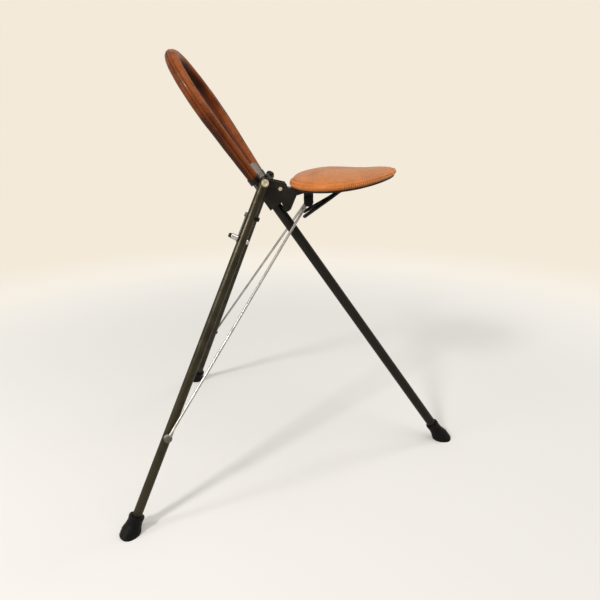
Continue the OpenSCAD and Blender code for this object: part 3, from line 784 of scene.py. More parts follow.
@dataclass
class SeatCover:
    """The stuffed seat: leather drawn over the crown, creased at the rim and whipped underneath.

    A share is one of the plan's half-length and half-width, 1 at the plan's edge.
    """

    # Lowest and highest corner of the seat's solid, from the frame.
    box: tuple[Vector, Vector] = field(default_factory=lambda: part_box("seat_cushion"))
    egg: float = 0.25  # How much the plan narrows towards the front.
    widest: float = 1.0286  # Half-width of that plan over its nominal half-width.
    bow_radius: float = 723.0  # Radius of the seat's upward bow, front to back.
    bow_at: float = 27.0  # Lowest place of the bow from the rear edge.
    rim: float = 15.0  # Height of the rolled rim.
    rim_fall: float = 0.3  # Share of that height lost at the front.
    crown: float = 22.0  # Height of the crown above the rim.
    crown_fall: float = 0.58  # Share of that height lost at the front.
    roll_at: float = 0.955  # Share where the rim's roll has its middle.
    bulge: float = 0.045  # How far the roll swells out of there.
    crease_at: float = 0.943  # Share where the crease runs.
    crease_depth: float = 0.35
    sides: int = 200  # Points round the plan.
    slack: float = 1.0  # How slack the cover starts before it is stuffed.
    pressure: float = 4.0  # Pressure of the stuffing.
    cap: float = 4.5  # Most that the stuffing may move a point.
    held: float = 60.0  # How far the rim is held near the hinge block, from the rear edge.
    neighbours: int = 6  # Points of the stuffed copy that move one point of the cover.
    fold: float = 0.55  # Height of the small folds at the crease.
    folds: float = 13.0  # How close they lie round the plan.
    wrinkle: float = 0.2  # Height of the finer wrinkles on them.
    wrinkle_size: float = 7.0  # Width of those.
    underside: float = 5.0  # Height up to which the leather stays smooth.
    stitch: float = 4.6  # Distance between the whip stitches.

    UNDERSIDE = (0.12, 0.35, 0.6, 0.8, 0.93)  # Shares of the rings under the pan.
    ROLL_RINGS, EDGE_RINGS, CROWN_RINGS = 14, 8, 20
    # Shares of the length from which the rim and the crown fall, and over which they do.
    RIM_FALLS, CROWN_FALLS = (0.4, 0.6), (0.3, 0.5)
    # What slack takes from the roll's bulge, the rim's height and the crown's height.
    SLACK_BULGE, SLACK_RIM, SLACK_CROWN = 0.012, 0.06, 0.16
    # Distance of each ring from the middle of the crease, and its share of the depth, which also sets its
    # painted shade.
    CREASE = ((0.006, 0.25), (0.003, 0.75), (0.0, 1.0), (-0.003, 0.75), (-0.006, 0.25))
    # Share of the plan and share of the crown's span, from the middle to the crease.
    SPAN = ((0.0, 0.85, 0.93, 0.943), (0.0, 0.86, 0.978, 1.0))
    HEM = (0.80, 0.93)  # Shares where the drawn leather inside the crease starts and is full.
    BAG_SIDES, BAG_MESH = 96, 5.0  # Points round the stuffed copy, and the width of its faces.
    PINNED = 2.5  # Height over the pan up to which the copy is held.
    TICKS = 20  # Steps of the cloth's run.
    # Share of the plan and of the rim's height at the lower and the upper end of a whip stitch.
    STITCH_ENDS = ((0.984, 0.12), (0.999, 0.58))
    STITCH_SLANT = 0.3  # Lean of a stitch to either side over the distance between stitches.
    CLOTH = {"quality": 6, "use_pressure": True, "tension_stiffness": 20.0,
             "compression_stiffness": 20.0, "bending_stiffness": 2.0}

    def __post_init__(self) -> None:
        """Takes the plan's size from the box."""
        low, high = self.box
        self.length = (high.x - low.x) / MM
        self.half_width = (high.y - low.y) / MM / 2 / self.widest

    def bow(self, x: Number) -> Number:
        """Rise of the pan at a distance from the rear edge."""
        return self.bow_radius - np.sqrt(self.bow_radius ** 2 - (x - self.bow_at) ** 2)

    def place(self, turn: Array, share: float, up: float, span: float, slack: float) -> Array:
        """Points of one ring of the cover.

        Args:
            turn: Turn round the plan, in radians.
            share: Share of the plan.
            up: Share of the rim's height.
            span: Share of the crown's span, 1 at the crease.
            slack: How slack the cover is, from 0 to 1.

        Returns:
            The points, in metres in the row frame.
        """
        half = self.length / 2
        x = half + share * half * np.cos(turn)
        y = share * self.half_width * np.sin(turn) * (1 - self.egg * np.cos(turn))
        along = x / self.length
        rim_fall, crown_fall = (ease((along - at) / over) for at, over in (self.RIM_FALLS, self.CROWN_FALLS))
        rim = self.rim * (1 - self.rim_fall * rim_fall)
        crown = self.crown * (1 - self.crown_fall * crown_fall) * (1 - span ** 4) ** 0.8
        z = rim * up * (1 - self.SLACK_RIM * slack) + crown * (1 - self.SLACK_CROWN * slack) + self.bow(x)
        low = self.box[0]
        return np.stack([low.x + x * MM, y * MM, low.z + z * MM], -1)

    def profile(self, slack: float) -> list[tuple[float, float, float, float, float]]:
        """The section of the cover, from under the middle round the rim to the top of the crown.

        Args:
            slack: How slack the cover is.

        Returns:
            For each ring its share of the plan, share of the rim, share of the crown's span,
            how much it belongs to the rim, and how deep it lies in the crease, which darkens it as painted
            shade.
        """
        bulge = self.bulge - self.SLACK_BULGE * slack
        rings = [(share, 0.0, 1.0, 1.0, 0.0) for share in self.UNDERSIDE]
        for a in np.radians(np.linspace(-90, 66, self.ROLL_RINGS)):
            rings.append((self.roll_at + bulge * cos(a), 0.5 + 0.5 * sin(a), 1.0, 1.0, 0.0))
        dip = self.crease_depth / self.rim
        for offset, deep in self.CREASE:
            rings.append((self.crease_at + offset, 1.0 - dip * deep, 1.0, 0.5 + offset * 80, deep))
        edge, crown = np.linspace(0.93, 0.82, self.EDGE_RINGS), np.linspace(0.79, 0.07, self.CROWN_RINGS)
        for share in (*edge, *crown):
            span = float(np.interp(share, *self.SPAN))
            rings.append((float(share), 1.0, span, 0.3 * float(self.hemmed(share)), 0.0))
        return rings

    def hemmed(self, share: float) -> float:
        """0 on the open crown and 1 at the crease."""
        return ease((share - self.HEM[0]) / (self.HEM[1] - self.HEM[0]))

    def form(self, name: str, sides: int, slack: float) -> Piece:
        """The cover before or without stuffing.

        Args:
            name: The object's name.
            sides: Points round the plan.
            slack: How slack the cover is.

        Returns:
            The closed form.
        """
        turn = round_turn(sides)
        rows = self.profile(slack)
        rings = np.array([self.place(turn, share, up, span, slack) for share, up, span, _, _ in rows])
        skin = Skin()
        skin.closed(rings, rings[0].mean(0), rings[-1].mean(0))
        cover = skin.piece(name, Finish.SEAT_LEATHER)
        # The crease's depth is stored so that it darkens the crease as painted shade.
        for label, column in (("rim", 3), ("crease", 4), ("share", 0)):
            values = np.repeat([row[column] for row in rows], sides)
            store(cover, label, np.append(values, [values[0], values[-1]]))
        return cover

    def stuffing(self) -> tuple[Array, Array]:
        """Blows up a slack copy of the cover as cloth.

        Returns:
            The copy's points before, and how far each has moved.
        """
        bag = self.form("seat_bag", self.BAG_SIDES, self.slack)
        remesh = bag.modifiers.new("even", "REMESH")
        remesh.mode = "VOXEL"
        remesh.voxel_size = self.BAG_MESH * MM
        applied(bag)
        before = points_of(bag)
        local = (before - np.array(self.box[0])) / MM
        over_pan = local[:, 2] - self.bow(local[:, 0])
        pins = bag.vertex_groups.new(name="pan")
        pins.add([int(i) for i in np.nonzero(over_pan < self.PINNED)[0]], 1.0, "REPLACE")
        cloth = bag.modifiers.new("stuffing", "CLOTH")
        settings = {**self.CLOTH, "vertex_group_mass": pins.name, "uniform_pressure_force": self.pressure}
        for name, setting in settings.items():
            setattr(cloth.settings, name, setting)
        cloth.settings.effector_weights.gravity = 0.0
        cloth.point_cache.frame_end = self.TICKS
        scene = bpy.context.scene
        for tick in range(1, self.TICKS + 1):
            scene.frame_set(tick)
        applied(bag)
        moved = points_of(bag) - before
        scene.frame_set(1)
        bpy.data.objects.remove(bag)
        reach = np.linalg.norm(moved, axis=1, keepdims=True) + 1e-12
        cap = self.cap * MM
        return before, moved / reach * cap * np.tanh(reach / cap)

    def stuff(self, cover: Piece) -> None:
        """Moves the cover's points as the stuffed copy moved, held still near the hinge block.

        Args:
            cover: The slack cover.
        """
        before, moved = self.stuffing()
        points = points_of(cover)
        shift = np.zeros_like(points)
        for i, point in enumerate(points):
            away = np.linalg.norm(before - point, axis=1)
            near = np.argpartition(away, self.neighbours)[:self.neighbours]
            weight = 1 / (away[near] + 0.5 * MM) ** 2
            shift[i] = (moved[near] * weight[:, None]).sum(0) / weight.sum()
        x = (points[:, 0] - self.box[0].x) / MM
        hold = 1 - (1 - ease(x / self.held)) * ease(stored(cover, "rim") * 2)
        points += shift * hold[:, None]
        cover.data.vertices.foreach_set("co", points.ravel())

    def pucker(self, cover: Piece) -> None:
        """Draws small folds into the leather on both sides of the crease.

        Args:
            cover: The cover.
        """
        points = points_of(cover)
        share = stored(cover, "share")
        low = self.box[0]
        for i, point in enumerate(points):
            inside = self.hemmed(share[i]) if share[i] < self.crease_at else 0.5
            if point[2] < low.z + self.underside * MM or inside <= 0:
                continue
            turn = atan2(point[1], point[0] - low.x - self.length / 2 * MM)
            fold = noise.noise(Vector((cos(turn) * self.folds, sin(turn) * self.folds, 0.0)))
            fine = noise.noise(Vector(point) / MM / self.wrinkle_size)
            points[i][2] += (self.fold * fold + self.wrinkle * fine) * inside * MM
        cover.data.vertices.foreach_set("co", points.ravel())

    def edge_stitches(self) -> Ends:
        """Ends of the whip stitches that draw the leather's edge down round the pan.

        Returns:
            Both ends of each stitch, in metres.
        """
        turn = np.linspace(0, FULL_TURN, 1441)
        line = self.place(turn, 1.0, 0.3, 1.0, 0.0)
        run = np.append(0, np.cumsum(np.linalg.norm(np.diff(line, axis=0), axis=1))) / MM
        count = round(run[-1] / self.stitch)
        marks = np.interp(np.arange(count) * run[-1] / count, run, turn)
        slant = self.STITCH_SLANT * self.stitch / run[-1] * FULL_TURN
        low, high = (self.place(marks + lean, *at, 1.0, 0.0)
                     for lean, at in zip((-slant, slant), self.STITCH_ENDS))
        return [(Vector(a), Vector(b)) for a, b in zip(low, high)]

    def build(self) -> list[Piece]:
        """Makes the cover and its thread and hangs them on the seat.

        Returns:
            The cover and the thread.
        """
        cover = self.form("seat_cover", self.sides, self.slack)
        self.stuff(cover)
        self.pucker(cover)
        thread = Stitching(thread=0.8, proud=0.6).sew(
            "seat_edge_stitches", self.edge_stitches(), tree_of(cover), Finish.SEAT_THREAD)
        smooth = cover.modifiers.new("smooth", "SUBSURF")
        smooth.levels = smooth.render_levels = 1
        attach(cover, "seat")
        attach(thread, "seat")
        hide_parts("seat_cushion")
        return [cover, thread]


@dataclass
class HoopSleeve:
    """The padded leather sleeve round the hoop, lapped and sewn along its outer side.

    A turn goes round the section, from 0 on the outer side towards the front.
    """

    half_base: float = 67.0  # Half the distance between the strands at their base.
    bend: float = 114.0  # Radius of the top bend.
    top: float = 284.0  # Height of the hoop's centre line above the head.
    forward: float = 2.0  # Forward place of the hoop's plane.
    lean: float = radians(1.0)  # Forward lean of the hoop from the stick.
    base_radius: float = 11.0  # Radius of the sleeve at the base.
    top_radius: float = 13.0  # Radius of the sleeve round the top.
    inner_radius: float = 9.4  # Radius inside the sleeve.
    start: float = 13.3  # Where the sleeve starts on a strand.
    hem: float = 1.6  # Radius by which the ends are rolled under.
    lap: float = 0.7  # Height of the lapped edge.
    lap_from: float = radians(-48.0)  # Turn at which the lap starts.
    lap_to: float = radians(10.0)  # Turn at which it ends.
    lap_soft: float = radians(9.0)  # Turn over which it rises.
    lap_sharp: float = radians(3.0)  # Turn over which it drops.
    seam_low: float = radians(-27.0)  # Turn of the whipped seam at the base.
    seam_drift: float = radians(17.0)  # How far it drifts to the front on its way up.
    groove: float = 0.45  # Depth of the seam's groove.
    lump: float = 0.28  # Height of the soft lumps.
    lump_size: float = 26.0  # Length of a lump along the hoop.
    wrinkle: float = 0.55  # Height of the wrinkles inside the bend.
    wrinkle_size: float = 4.2  # Length of a wrinkle along the hoop.
    plain_sides: int = 60  # Points round the section apart from those at the lap's edges.
    pitch: float = 3.2  # Distance between rings along the sleeve.
    bend_blend: float = 25.0  # Length over which the bend's wrinkles set in, and its painted light and shade change.
    inside_shade_from: float = 195.0  # Height over the head where painted shade inside the arch starts.
    inside_shade_blend: float = 45.0  # Height over which that painted shade deepens.
    stitch_margin: float = 4.0  # Distance of the first stitch from the sleeve's start.

    SEAM_RISE = (30.0, 160.0)  # Where the seam starts to drift, from an end, and over what length.
    FADE = 0.6  # Turn over which the painted shade fades out.
    FRONT_FROM, FRONT_FADE = radians(8), 0.7  # Turn where the painted light down the front starts, and the fade of it and of the bend's painted light.
    BACK = (radians(12), radians(140))  # Turns towards the back between which painted shade darkens the sleeve.
    SHADED_INSIDE_FROM = radians(125)  # Turn either way from which painted shade darkens the arch's inside.
    CREST_AT, CREST_WIDE = 0.12, 0.1  # Turn of the lap's rubbed crest before its end, and its width.
    LAP_LINE_AT, LAP_LINE_WIDE = radians(2.5), radians(3.5)  # The dark line beyond the lap's end.
    SEAM_WIDE, GROOVE_WIDE = 0.09, radians(5.0)  # Widths of the seam's dye and of its groove.

    def __post_init__(self) -> None:
        """Works out where the strands meet the bend."""
        self.middle = self.top - self.bend
        reach = hypot(self.half_base, self.middle)
        rise = atan2(self.middle, -self.half_base) - asin(self.bend / reach)
        self.out = pi / 2 - rise
        self.arc = self.bend * (pi + 2 * self.out)
        self.strand = sqrt(reach ** 2 - self.bend ** 2) - self.start
        self.length = self.arc + 2 * self.strand

    def line(self, along: Array) -> tuple[Array, Array, Array]:
        """The hoop's centre line.

        Args:
            along: Distances from the sleeve's start on the right strand, in millimetres.

        Returns:
            The points, the directions out of the hoop and the directions to the front, all in
            the stick's frame.
        """
        turn = pi + self.out - np.clip(along - self.strand, 0, self.arc) / self.bend
        out_y, out_z = np.cos(turn), np.sin(turn)
        past = np.minimum(along - self.strand, 0) + np.maximum(along - self.strand - self.arc, 0)
        y = self.bend * out_y + past * out_z
        z = self.middle + self.bend * out_z - past * out_y
        lean_x, lean_z = sin(self.lean), cos(self.lean)
        points = np.stack([self.forward + z * lean_x, y, z * lean_z], -1)
        outward = np.stack([out_z * lean_x, out_y, out_z * lean_z], -1)
        front = np.broadcast_to(np.array([lean_z, 0.0, -lean_x]), points.shape)
        return points, outward, front

    def from_end(self, along: Number) -> Number:
        """Distance from the nearer end of the sleeve."""
        return np.minimum(along, self.length - along)

    def radius(self, along: Number) -> Number:
        """Plain radius of the sleeve at distances from its start."""
        share = np.clip(self.from_end(along) / self.strand, 0, 1)
        return self.base_radius + (self.top_radius - self.base_radius) * share

    def lapped(self, turn: Array) -> Array:
        """Share of the lap's height at a turn round the section."""
        rise = ease((turn - self.lap_from) / self.lap_soft)
        return rise * (1 - ease((turn - self.lap_to) / self.lap_sharp))

    def turns(self) -> Array:
        """Turns round the section, close together where the lap ends.

        Returns:
            The turns, in radians.
        """
        even = np.linspace(-pi, pi, self.plain_sides, endpoint=False)
        fine = self.lap_to + np.radians([-6.0, -3.0, -1.0, 0.0, 0.75, 1.5, 2.25, 3.0, 4.0, 6.0])
        apart = np.abs(even[:, None] - fine[None]).min(1) > radians(1.5)
        return np.sort(np.concatenate([even[apart], fine]))

    def seam(self, along: Number) -> Number:
        """Turn of the whipped seam."""
        start, rise = self.SEAM_RISE
        return self.seam_low + self.seam_drift * ease((self.from_end(along) - start) / rise)

    def bent(self, along: float) -> float:
        """1 on the top bend and 0 on the strands."""
        before, after = along - self.strand, self.length - self.strand - along
        return float(ease(before / self.bend_blend) * ease(after / self.bend_blend))

    def rubbed(self, along: float, turn: Array) -> Array:
        """Where the hide is lighter: painted light down the front and over the top bend, and a rubbed crest
        along the lap.

        Args:
            along: Distance from the start.
            turn: Turns round the section.

        Returns:
            A value from 0 to 1 for each turn.
        """
        # front and over are painted light; crest is rubbed wear.
        front = ease((turn - self.FRONT_FROM) / self.FRONT_FADE)
        crest = self.lapped(turn) * peak((turn - self.lap_to + self.CREST_AT) / self.CREST_WIDE)
        over = ease(np.cos(turn) / self.FRONT_FADE)
        return np.clip(0.85 * front + crest + 0.6 * self.bent(along) * over, 0, 1)

    def dye_and_painted_shade(self, along: float, turn: Array) -> Array:
        """Where the hide is darker: dark dye along the lap's edge and the seam, and painted shade down the
        back and inside the arch.

        Args:
            along: Distance from the start.
            turn: Turns round the section.

        Returns:
            A value from 0 to 1 for each turn.
        """
        # back and inner are painted shade; lap_line and seam are dark dye at the joints.
        first, last = (ease((-turn - at) / self.FADE) for at in self.BACK)
        back = first * (1 - last)
        inner = ease((np.abs(turn) - self.SHADED_INSIDE_FROM) / self.FADE)
        lap_line = peak((turn - self.lap_to - self.LAP_LINE_AT) / self.LAP_LINE_WIDE)
        seam = peak((turn - self.seam(along)) / self.SEAM_WIDE)
        height = float(self.line(np.array([along]))[0][0, 2])
        dark = 0.65 * lap_line + 0.5 * seam + 0.75 * back * (1 - 0.85 * self.bent(along))
        dark = dark + 0.8 * inner * ease((height - self.inside_shade_from) / self.inside_shade_blend)
        return np.clip(dark, 0, 1)

    def section(self, along: float, turn: Array) -> Array:
        """Radius round one section, with the lap, the seam's groove, wrinkles and soft lumps.

        Args:
            along: Distance from the start.
            turn: Turns round the section.

        Returns:
            The radii.
        """
        groove = peak((turn - self.seam(along)) / self.GROOVE_WIDE)
        lumps = np.array([noise.noise(Vector((cos(t) * 1.3, sin(t) * 1.3, along / self.lump_size)))
                          for t in turn])
        inside = ease((np.cos(turn - pi) - 0.1) / 0.6)
        ripple = np.array([noise.noise(Vector((t * 0.8, 7.0, along / self.wrinkle_size))) for t in turn])
        return (float(self.radius(along)) + self.lap * self.lapped(turn) - self.groove * groove
                + self.lump * lumps + self.wrinkle * self.bent(along) * inside * ripple)

    def ring(self, along: float, turn: Array, radii: Array) -> Array:
        """Points of one ring round the centre line, in the stick's frame."""
        centre, outward, front = (a[0] for a in self.line(np.array([along])))
        return centre + radii[:, None] * (np.cos(turn)[:, None] * outward + np.sin(turn)[:, None] * front)

    def cover(self) -> Piece:
        """Makes the sleeve as one closed skin, rolled under at both ends.

        Returns:
            The sleeve.
        """
        turn, hem = self.turns(), self.hem
        count = round(self.length / self.pitch)
        marks = [self.length * k / count for k in range(count + 1)]
        outer = [(along, self.section(along, turn)) for along in marks]
        for end, sign in ((0, 1), (-1, -1)):
            along, radii = outer[end]
            rolled = []
            for a in np.radians([0, 30, 60]):
                rolled.append((along + sign * hem * (1 - sin(a)) - sign * hem,
                               radii - hem * (1 - cos(a - pi / 2))))
            outer = rolled + outer if sign > 0 else outer + rolled[::-1]
        inner = np.full(len(turn), self.inner_radius)
        marks = np.linspace(self.length + hem * 0.9, -hem * 0.9, 60)
        rows = outer + [(float(mark), inner) for mark in marks]
        skin = Skin()
        skin.rings(through(STANCE.stick(), np.array([self.ring(a, turn, r) for a, r in rows])), looped=True)
        sleeve = skin.piece("hoop_sleeve", Finish.BACK_LEATHER)
        # The stored values hold painted shade and painted light besides the seam's dye and the lap's wear.
        store(sleeve, "crease", np.array([self.dye_and_painted_shade(a, turn) for a, _ in rows]))
        store(sleeve, "rim", np.array([self.rubbed(a, turn) for a, _ in rows]))
        return sleeve

    def stitches(self, pitch: float, low: Callable[[float], float], high: Callable[[float], float],
                 slant: float) -> Ends:
        """Ends of a row of stitches.

        Args:
            pitch: Distance from stitch to stitch.
            low: Turn of the first end, as a function of the distance along.
            high: Turn of the other end, as such a function.
            slant: How far the other end lies ahead, in millimetres.

        Returns:
            Both ends of each stitch, in metres.
        """
        stick, ends = STANCE.stick(), []
        for k in range(int((self.length - 1.5 * self.stitch_margin) / pitch)):
            along = self.stitch_margin + k * pitch
            pair = []
            for mark, turn in ((along, low(along)), (along + slant, high(along))):
                radii = self.radius(np.array([mark])) + self.lap
                pair.append(Vector(through(stick, self.ring(mark, np.array([float(turn)]), radii))[0]))
            ends.append((pair[0], pair[1]))
        return ends

    def build(self) -> list[Piece]:
        """Makes the sleeve and its two rows of thread and hangs them on the frame.

        Returns:
            The sleeve and both rows.
        """
        sleeve = self.cover()
        tree = tree_of(sleeve)
        half = radians(10.0)
        whip = self.stitches(3.8, lambda a: self.seam(a) - half, lambda a: self.seam(a) + half, 1.3)
        edge = self.stitches(4.4, lambda a: self.lap_to - 0.09, lambda a: self.lap_to - 0.09, 3.0)
        pieces = [sleeve]
        for name, ends, thread, proud in (("hoop_seam_stitches", whip, 0.5, 0.6),
                                          ("hoop_edge_stitches", edge, 0.38, 0.35)):
            pieces.append(Stitching(thread, proud).sew(name, ends, tree, Finish.BACK_THREAD))
        for piece in pieces:
            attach(piece, "frame")
        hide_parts("hoop_cover")
        return pieces


@dataclass
class RubberFoot:
    """A moulded rubber foot: a lip, a flaring skirt and a blunt ribbed barrel, cut by the floor."""

    node: str  # The solid that it stands for.
    body: str  # The body that it rides on.
    tube_radius: float  # Radius of the tube in it.
    axis: Matrix  # The frame of its leg at the foot's mouth, with -Z down along it.
    base_radius: float  # Radius of the barrel.
    length: float  # Length from the mouth to the floor.
    reach: float  # How far it runs on below that length before the floor cuts it.
    mouth: float = 15.0  # Radius round the mouth.
    sole: float = 16.0  # Rubber under the end of the tube.
    lip: float = 0.14  # Share of the length that the lip takes.
    rib: float = 0.55  # Height of a rib.
    rib_pitch: float = 3.3  # Distance between ribs.
    ribs_from: float = 0.42  # Share of the length where the ribs start.
    clearance: float = 0.05  # Running room round the tube.
    sides: int = 72  # Points round it.

    def outline(self) -> list[Pair]:
        """Half section from the bore's floor over the lip to the tip of the sole.

        Returns:
            Radius and height of each point, the mouth at 0.
        """
        mouth, base, length = self.mouth, self.base_radius, self.length
        bore, floor, lip = self.tube_radius + self.clearance, self.sole - length, self.lip * length
        line = [(bore * 0.5, floor), (bore, floor), (bore, floor / 2), (bore, -0.6), (bore + 0.4, 0.0),
                (mouth - 1.2, 0.0), (mouth - 0.35, -0.35), (mouth, -1.2), (mouth, 0.8 - lip),
                (mouth - 0.25, 0.1 - lip), (mouth - 0.75, -0.9 - lip)]
        knots = [(1.6 + lip, mouth - 0.8), (0.34 * length, mouth - 0.4), (0.47 * length, mouth + 0.4),
                 (0.61 * length, base - 2.0), (0.73 * length, base - 0.4), (0.80 * length, base),
                 (length + 0.35 * self.reach, base)]
        depths = np.linspace(knots[0][0], knots[-1][0], 90)
        radii = np.interp(depths, *zip(*knots))
        radii = np.convolve(np.pad(radii, 4, mode="edge"), np.ones(9) / 9, mode="valid")
        ribbed = ease((depths - self.ribs_from * length) / 4) * ease((depths[-1] - depths) / 2)
        wave = 0.5 - 0.5 * np.cos(FULL_TURN * depths / self.rib_pitch)
        radii = radii - self.rib * ribbed * wave
        line.extend((float(r), -float(d)) for r, d in zip(radii, depths))
        for radius, share in ((base - 0.3, 0.42), (base - 1.0, 0.55), (base - 2.2, 0.66),
                              (base * 0.7, 0.85), (base * 0.4, 0.94)):
            line.append((radius, -length - share * self.reach))
        return line

    def build(self) -> list[Piece]:
        """Turns the foot, cuts it flat on the floor and puts it in place.

        Returns:
            The foot.
        """
        line = self.outline()
        turn = round_turn(self.sides)
        rings = np.array([[(r * cos(a), r * sin(a), z) for a in turn] for r, z in line])
        start, end = np.array([0.0, 0.0, line[0][1]]), np.array([0.0, 0.0, line[-1][1]])
        skin = Skin()
        skin.closed(through(self.axis, rings), through(self.axis, start), through(self.axis, end))
        foot = skin.piece(f"{self.node}_rubber", Finish.RUBBER)
        bm = bmesh.new()
        bm.from_mesh(foot.data)
        everything = [*bm.verts, *bm.edges, *bm.faces]
        cut = bmesh.ops.bisect_plane(bm, geom=everything, plane_co=(0, 0, 0), plane_no=(0, 0, 1),
                                     clear_inner=True)
        rim = [e for e in cut["geom_cut"] if isinstance(e, bmesh.types.BMEdge)]
        bmesh.ops.triangle_fill(bm, use_beauty=True, edges=rim, normal=(0, 0, -1))
        bmesh.ops.recalc_face_normals(bm, faces=bm.faces)
        for edge in rim:
            edge.smooth = False
        bm.to_mesh(foot.data)
        bm.free()
        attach(foot, self.body)
        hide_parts(self.node)
        return [foot]

    @staticmethod
    def all_three() -> list["RubberFoot"]:
        """Plans the front foot and both rear feet, each on its own leg.

        Returns:
            The three feet.
        """
        plans = [("front_foot", "frame", 11.0, STANCE.stick(), 20.0, 53.0)]
        for side in Side:
            plans.append((f"rear_foot_{side.word}", f"leg_{side.word}", 9.0, STANCE.leg(side), 19.0, 38.0))
        feet = []
        for node, body, tube, axis, base, length in plans:
            fall = (axis.to_3x3() @ Vector((0.0, 0.0, 1.0))).z / MM
            mouth = axis @ Matrix.Translation((0.0, 0.0, length - axis.translation.z / MM / fall))
            reach = base * tan(acos(fall)) + 2
            feet.append(RubberFoot(node, body, tube, mouth, base, length, reach))
        return feet


@dataclass
class BeltHook:
    """The forked hook under the seat, bent from one bar, with places in front of the seat's hinge."""

    seat: SeatCover  # The seat whose bow it follows.
    radius: float = 4.0  # Radius of the bar.
    weld_mesh: float = 1.1  # Width of the faces after the weld.
    rounding: int = 4  # Passes that round the weld.
    seat_back: float = 18.0  # Place of the seat's rear edge.
    pan: float = 1.0  # Height of the pan's underside above the hinge.
    root_x: float = 178.0  # Place of the end under the pan.
    fork_x: float = 136.0  # Place of the fork.
    bend: Pair = (100.0, -24.0)  # Place of the prongs' bend, forward and up.
    tip: Pair = (51.0, -55.0)  # Place of the prongs' tips, forward and up.
    gap: float = 72.0  # Distance between the tips.
    steps: int = 12  # Rings between two knots of the centre line.
    sides: int = 20  # Points round the bar.

    def under(self, x: float) -> float:
        """Height of the pan's underside at a place in front of the hinge."""
        return self.pan + float(self.seat.bow(x - self.seat_back))

    def line(self, side: Side) -> Array:
        """Centre line of one prong, smoothly bent.

        Args:
            side: The prong's side.

        Returns:
            Its points, from the root through the fork to the tip.
        """
        spread = side.value * self.gap / 2
        knots = [Vector((self.root_x, 0.0, self.under(self.root_x) - 1)),
                 Vector((self.fork_x, 0.0, self.under(self.fork_x) - self.radius - 4)),
                 Vector((self.bend[0], spread * 0.35, self.bend[1])),
                 Vector((self.tip[0], spread, self.tip[1]))]
        knots = [knots[0] * 2 - knots[1], *knots, knots[3] * 2 - knots[2]]
        points = []
        for k in range(1, len(knots) - 2):
            a, b, c, d = knots[k - 1:k + 3]
            for step in range(self.steps):
                t = step / self.steps
                points.append(((b * 2) + (c - a) * t + (a * 2 - b * 5 + c * 4 - d) * t ** 2
                               + (b * 3 - a - c * 3 + d) * t ** 3) / 2)
        return np.array([*points, knots[-2]])

    def sweep(self, skin: Skin, line: Array) -> None:
        """Sweeps the bar along a centre line, with round ends.

        Args:
            skin: What it is added to.
            line: The centre line, in the seat's frame.
        """
        ahead = np.gradient(line, axis=0)
        ahead /= np.linalg.norm(ahead, axis=1)[:, None]
        across = np.cross(ahead, np.array([0.0, 0.0, 1.0]))
        across /= np.linalg.norm(across, axis=1)[:, None]
        up = np.cross(across, ahead)
        turn = round_turn(self.sides)[None, :, None]
        rings = line[:, None] + self.radius * (np.cos(turn) * across[:, None] + np.sin(turn) * up[:, None])
        caps = []
        for end, sign in ((0, -1), (-1, 1)):
            for a in np.radians([30, 55, 75]):
                middle = line[end] + ahead[end] * sign * self.radius * sin(a)
                caps.append(middle + (rings[end] - line[end]) * cos(a))
        rings = np.concatenate([caps[2::-1], rings, caps[3:]])
        tips = line[[0, -1]] + ahead[[0, -1]] * np.array([[-self.radius], [self.radius]])
        seat = STANCE.seat()
        skin.closed(through(seat, rings), through(seat, tips[0]), through(seat, tips[1]))

    def build(self) -> list[Piece]:
        """Sweeps both prongs, welds them at the fork and rounds the weld.

        Returns:
            The hook.
        """
        skin = Skin()
        for side in Side:
            self.sweep(skin, self.line(side))
        hook = skin.piece("belt_hook_bar", Finish.BLACK_METAL)
        weld = hook.modifiers.new("weld", "REMESH")
        weld.mode = "VOXEL"
        weld.voxel_size = self.weld_mesh * MM
        weld.use_smooth_shade = True
        round_off = hook.modifiers.new("round", "SMOOTH")
        round_off.factor = 0.5
        round_off.iterations = self.rounding
        applied(hook)
        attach(hook, "seat")
        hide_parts("belt_hook")
        return [hook]


class Hardware:
    """The frame's own pieces, which keep their shape and get their finish here."""

    FINISHES: dict[Finish, Sequence[str]] = {
        Finish.DARK_TUBE: both("leg_tube"),
        # The front and hoop tubes take the tube finish's darker copy, which is painted shade.
        Finish.SHADED_TUBE: ("front_tube", "hoop_tube"),
        Finish.BLACK_METAL: ("hinge_block", "cross_arm", *both("socket"), "seat_bracket", "seat_pan",
                             "rod_lug", "stop_pin", "catch_knob", "belt_hook"),
        Finish.CHROME: ("rod_pin", "catch_housing", "catch_plunger"),
        Finish.ROD_CHROME: both("rod"),
        Finish.ZINC: ("hinge_pin", *both("pivot_bolt", "leg_bush"), "seat_rivets"),
        Finish.GREY_STEEL: (*both("stay_plate", "pivot_washer", "rod_boss", "rod_rivet"), "stay_rivets",
                            "catch_rivet", "catch_leaf"),
        Finish.RUBBER: (*both("leg_cap", "rear_foot"), "stop_roller", "rod_caps", "catch_buffer",
                        "front_foot"),
        Finish.BACK_LEATHER: ("hoop_cover",),
        Finish.SEAT_LEATHER: ("seat_cushion",),
    }

    def dress(self) -> int:
        """Gives every node its finish.

        Returns:
            How many nodes were dressed.
        """
        for finish, names in self.FINISHES.items():
            for name in names:
                node = frame["nodes"][name]
                if not node.material_slots:
                    node.data.materials.append(None)
                for slot in node.material_slots:
                    slot.material = finish.made()
        return sum(map(len, self.FINISHES.values()))


@dataclass(frozen=True)
class Lamp:
    """One soft box that faces the stool, in metres."""

    name: str
    at: Triple  # Its place.
    size: Pair  # Its width and height.
    power: float  # Its power in watts.
    colour: Colour = (1.0, 1.0, 1.0)

    TARGET = Vector((0.0, 0.0, 0.4))

    def hang(self) -> None:
        """Puts the lamp in the scene."""
        data = bpy.data.lights.new(self.name, "AREA")
        data.shape = "RECTANGLE"
        data.size, data.size_y = self.size
        data.energy = self.power
        data.color = self.colour
        lamp = placed(self.name, data)
        lamp.location = self.at
        lamp.rotation_euler = (self.TARGET - Vector(self.at)).to_track_quat("-Z", "Y").to_euler()


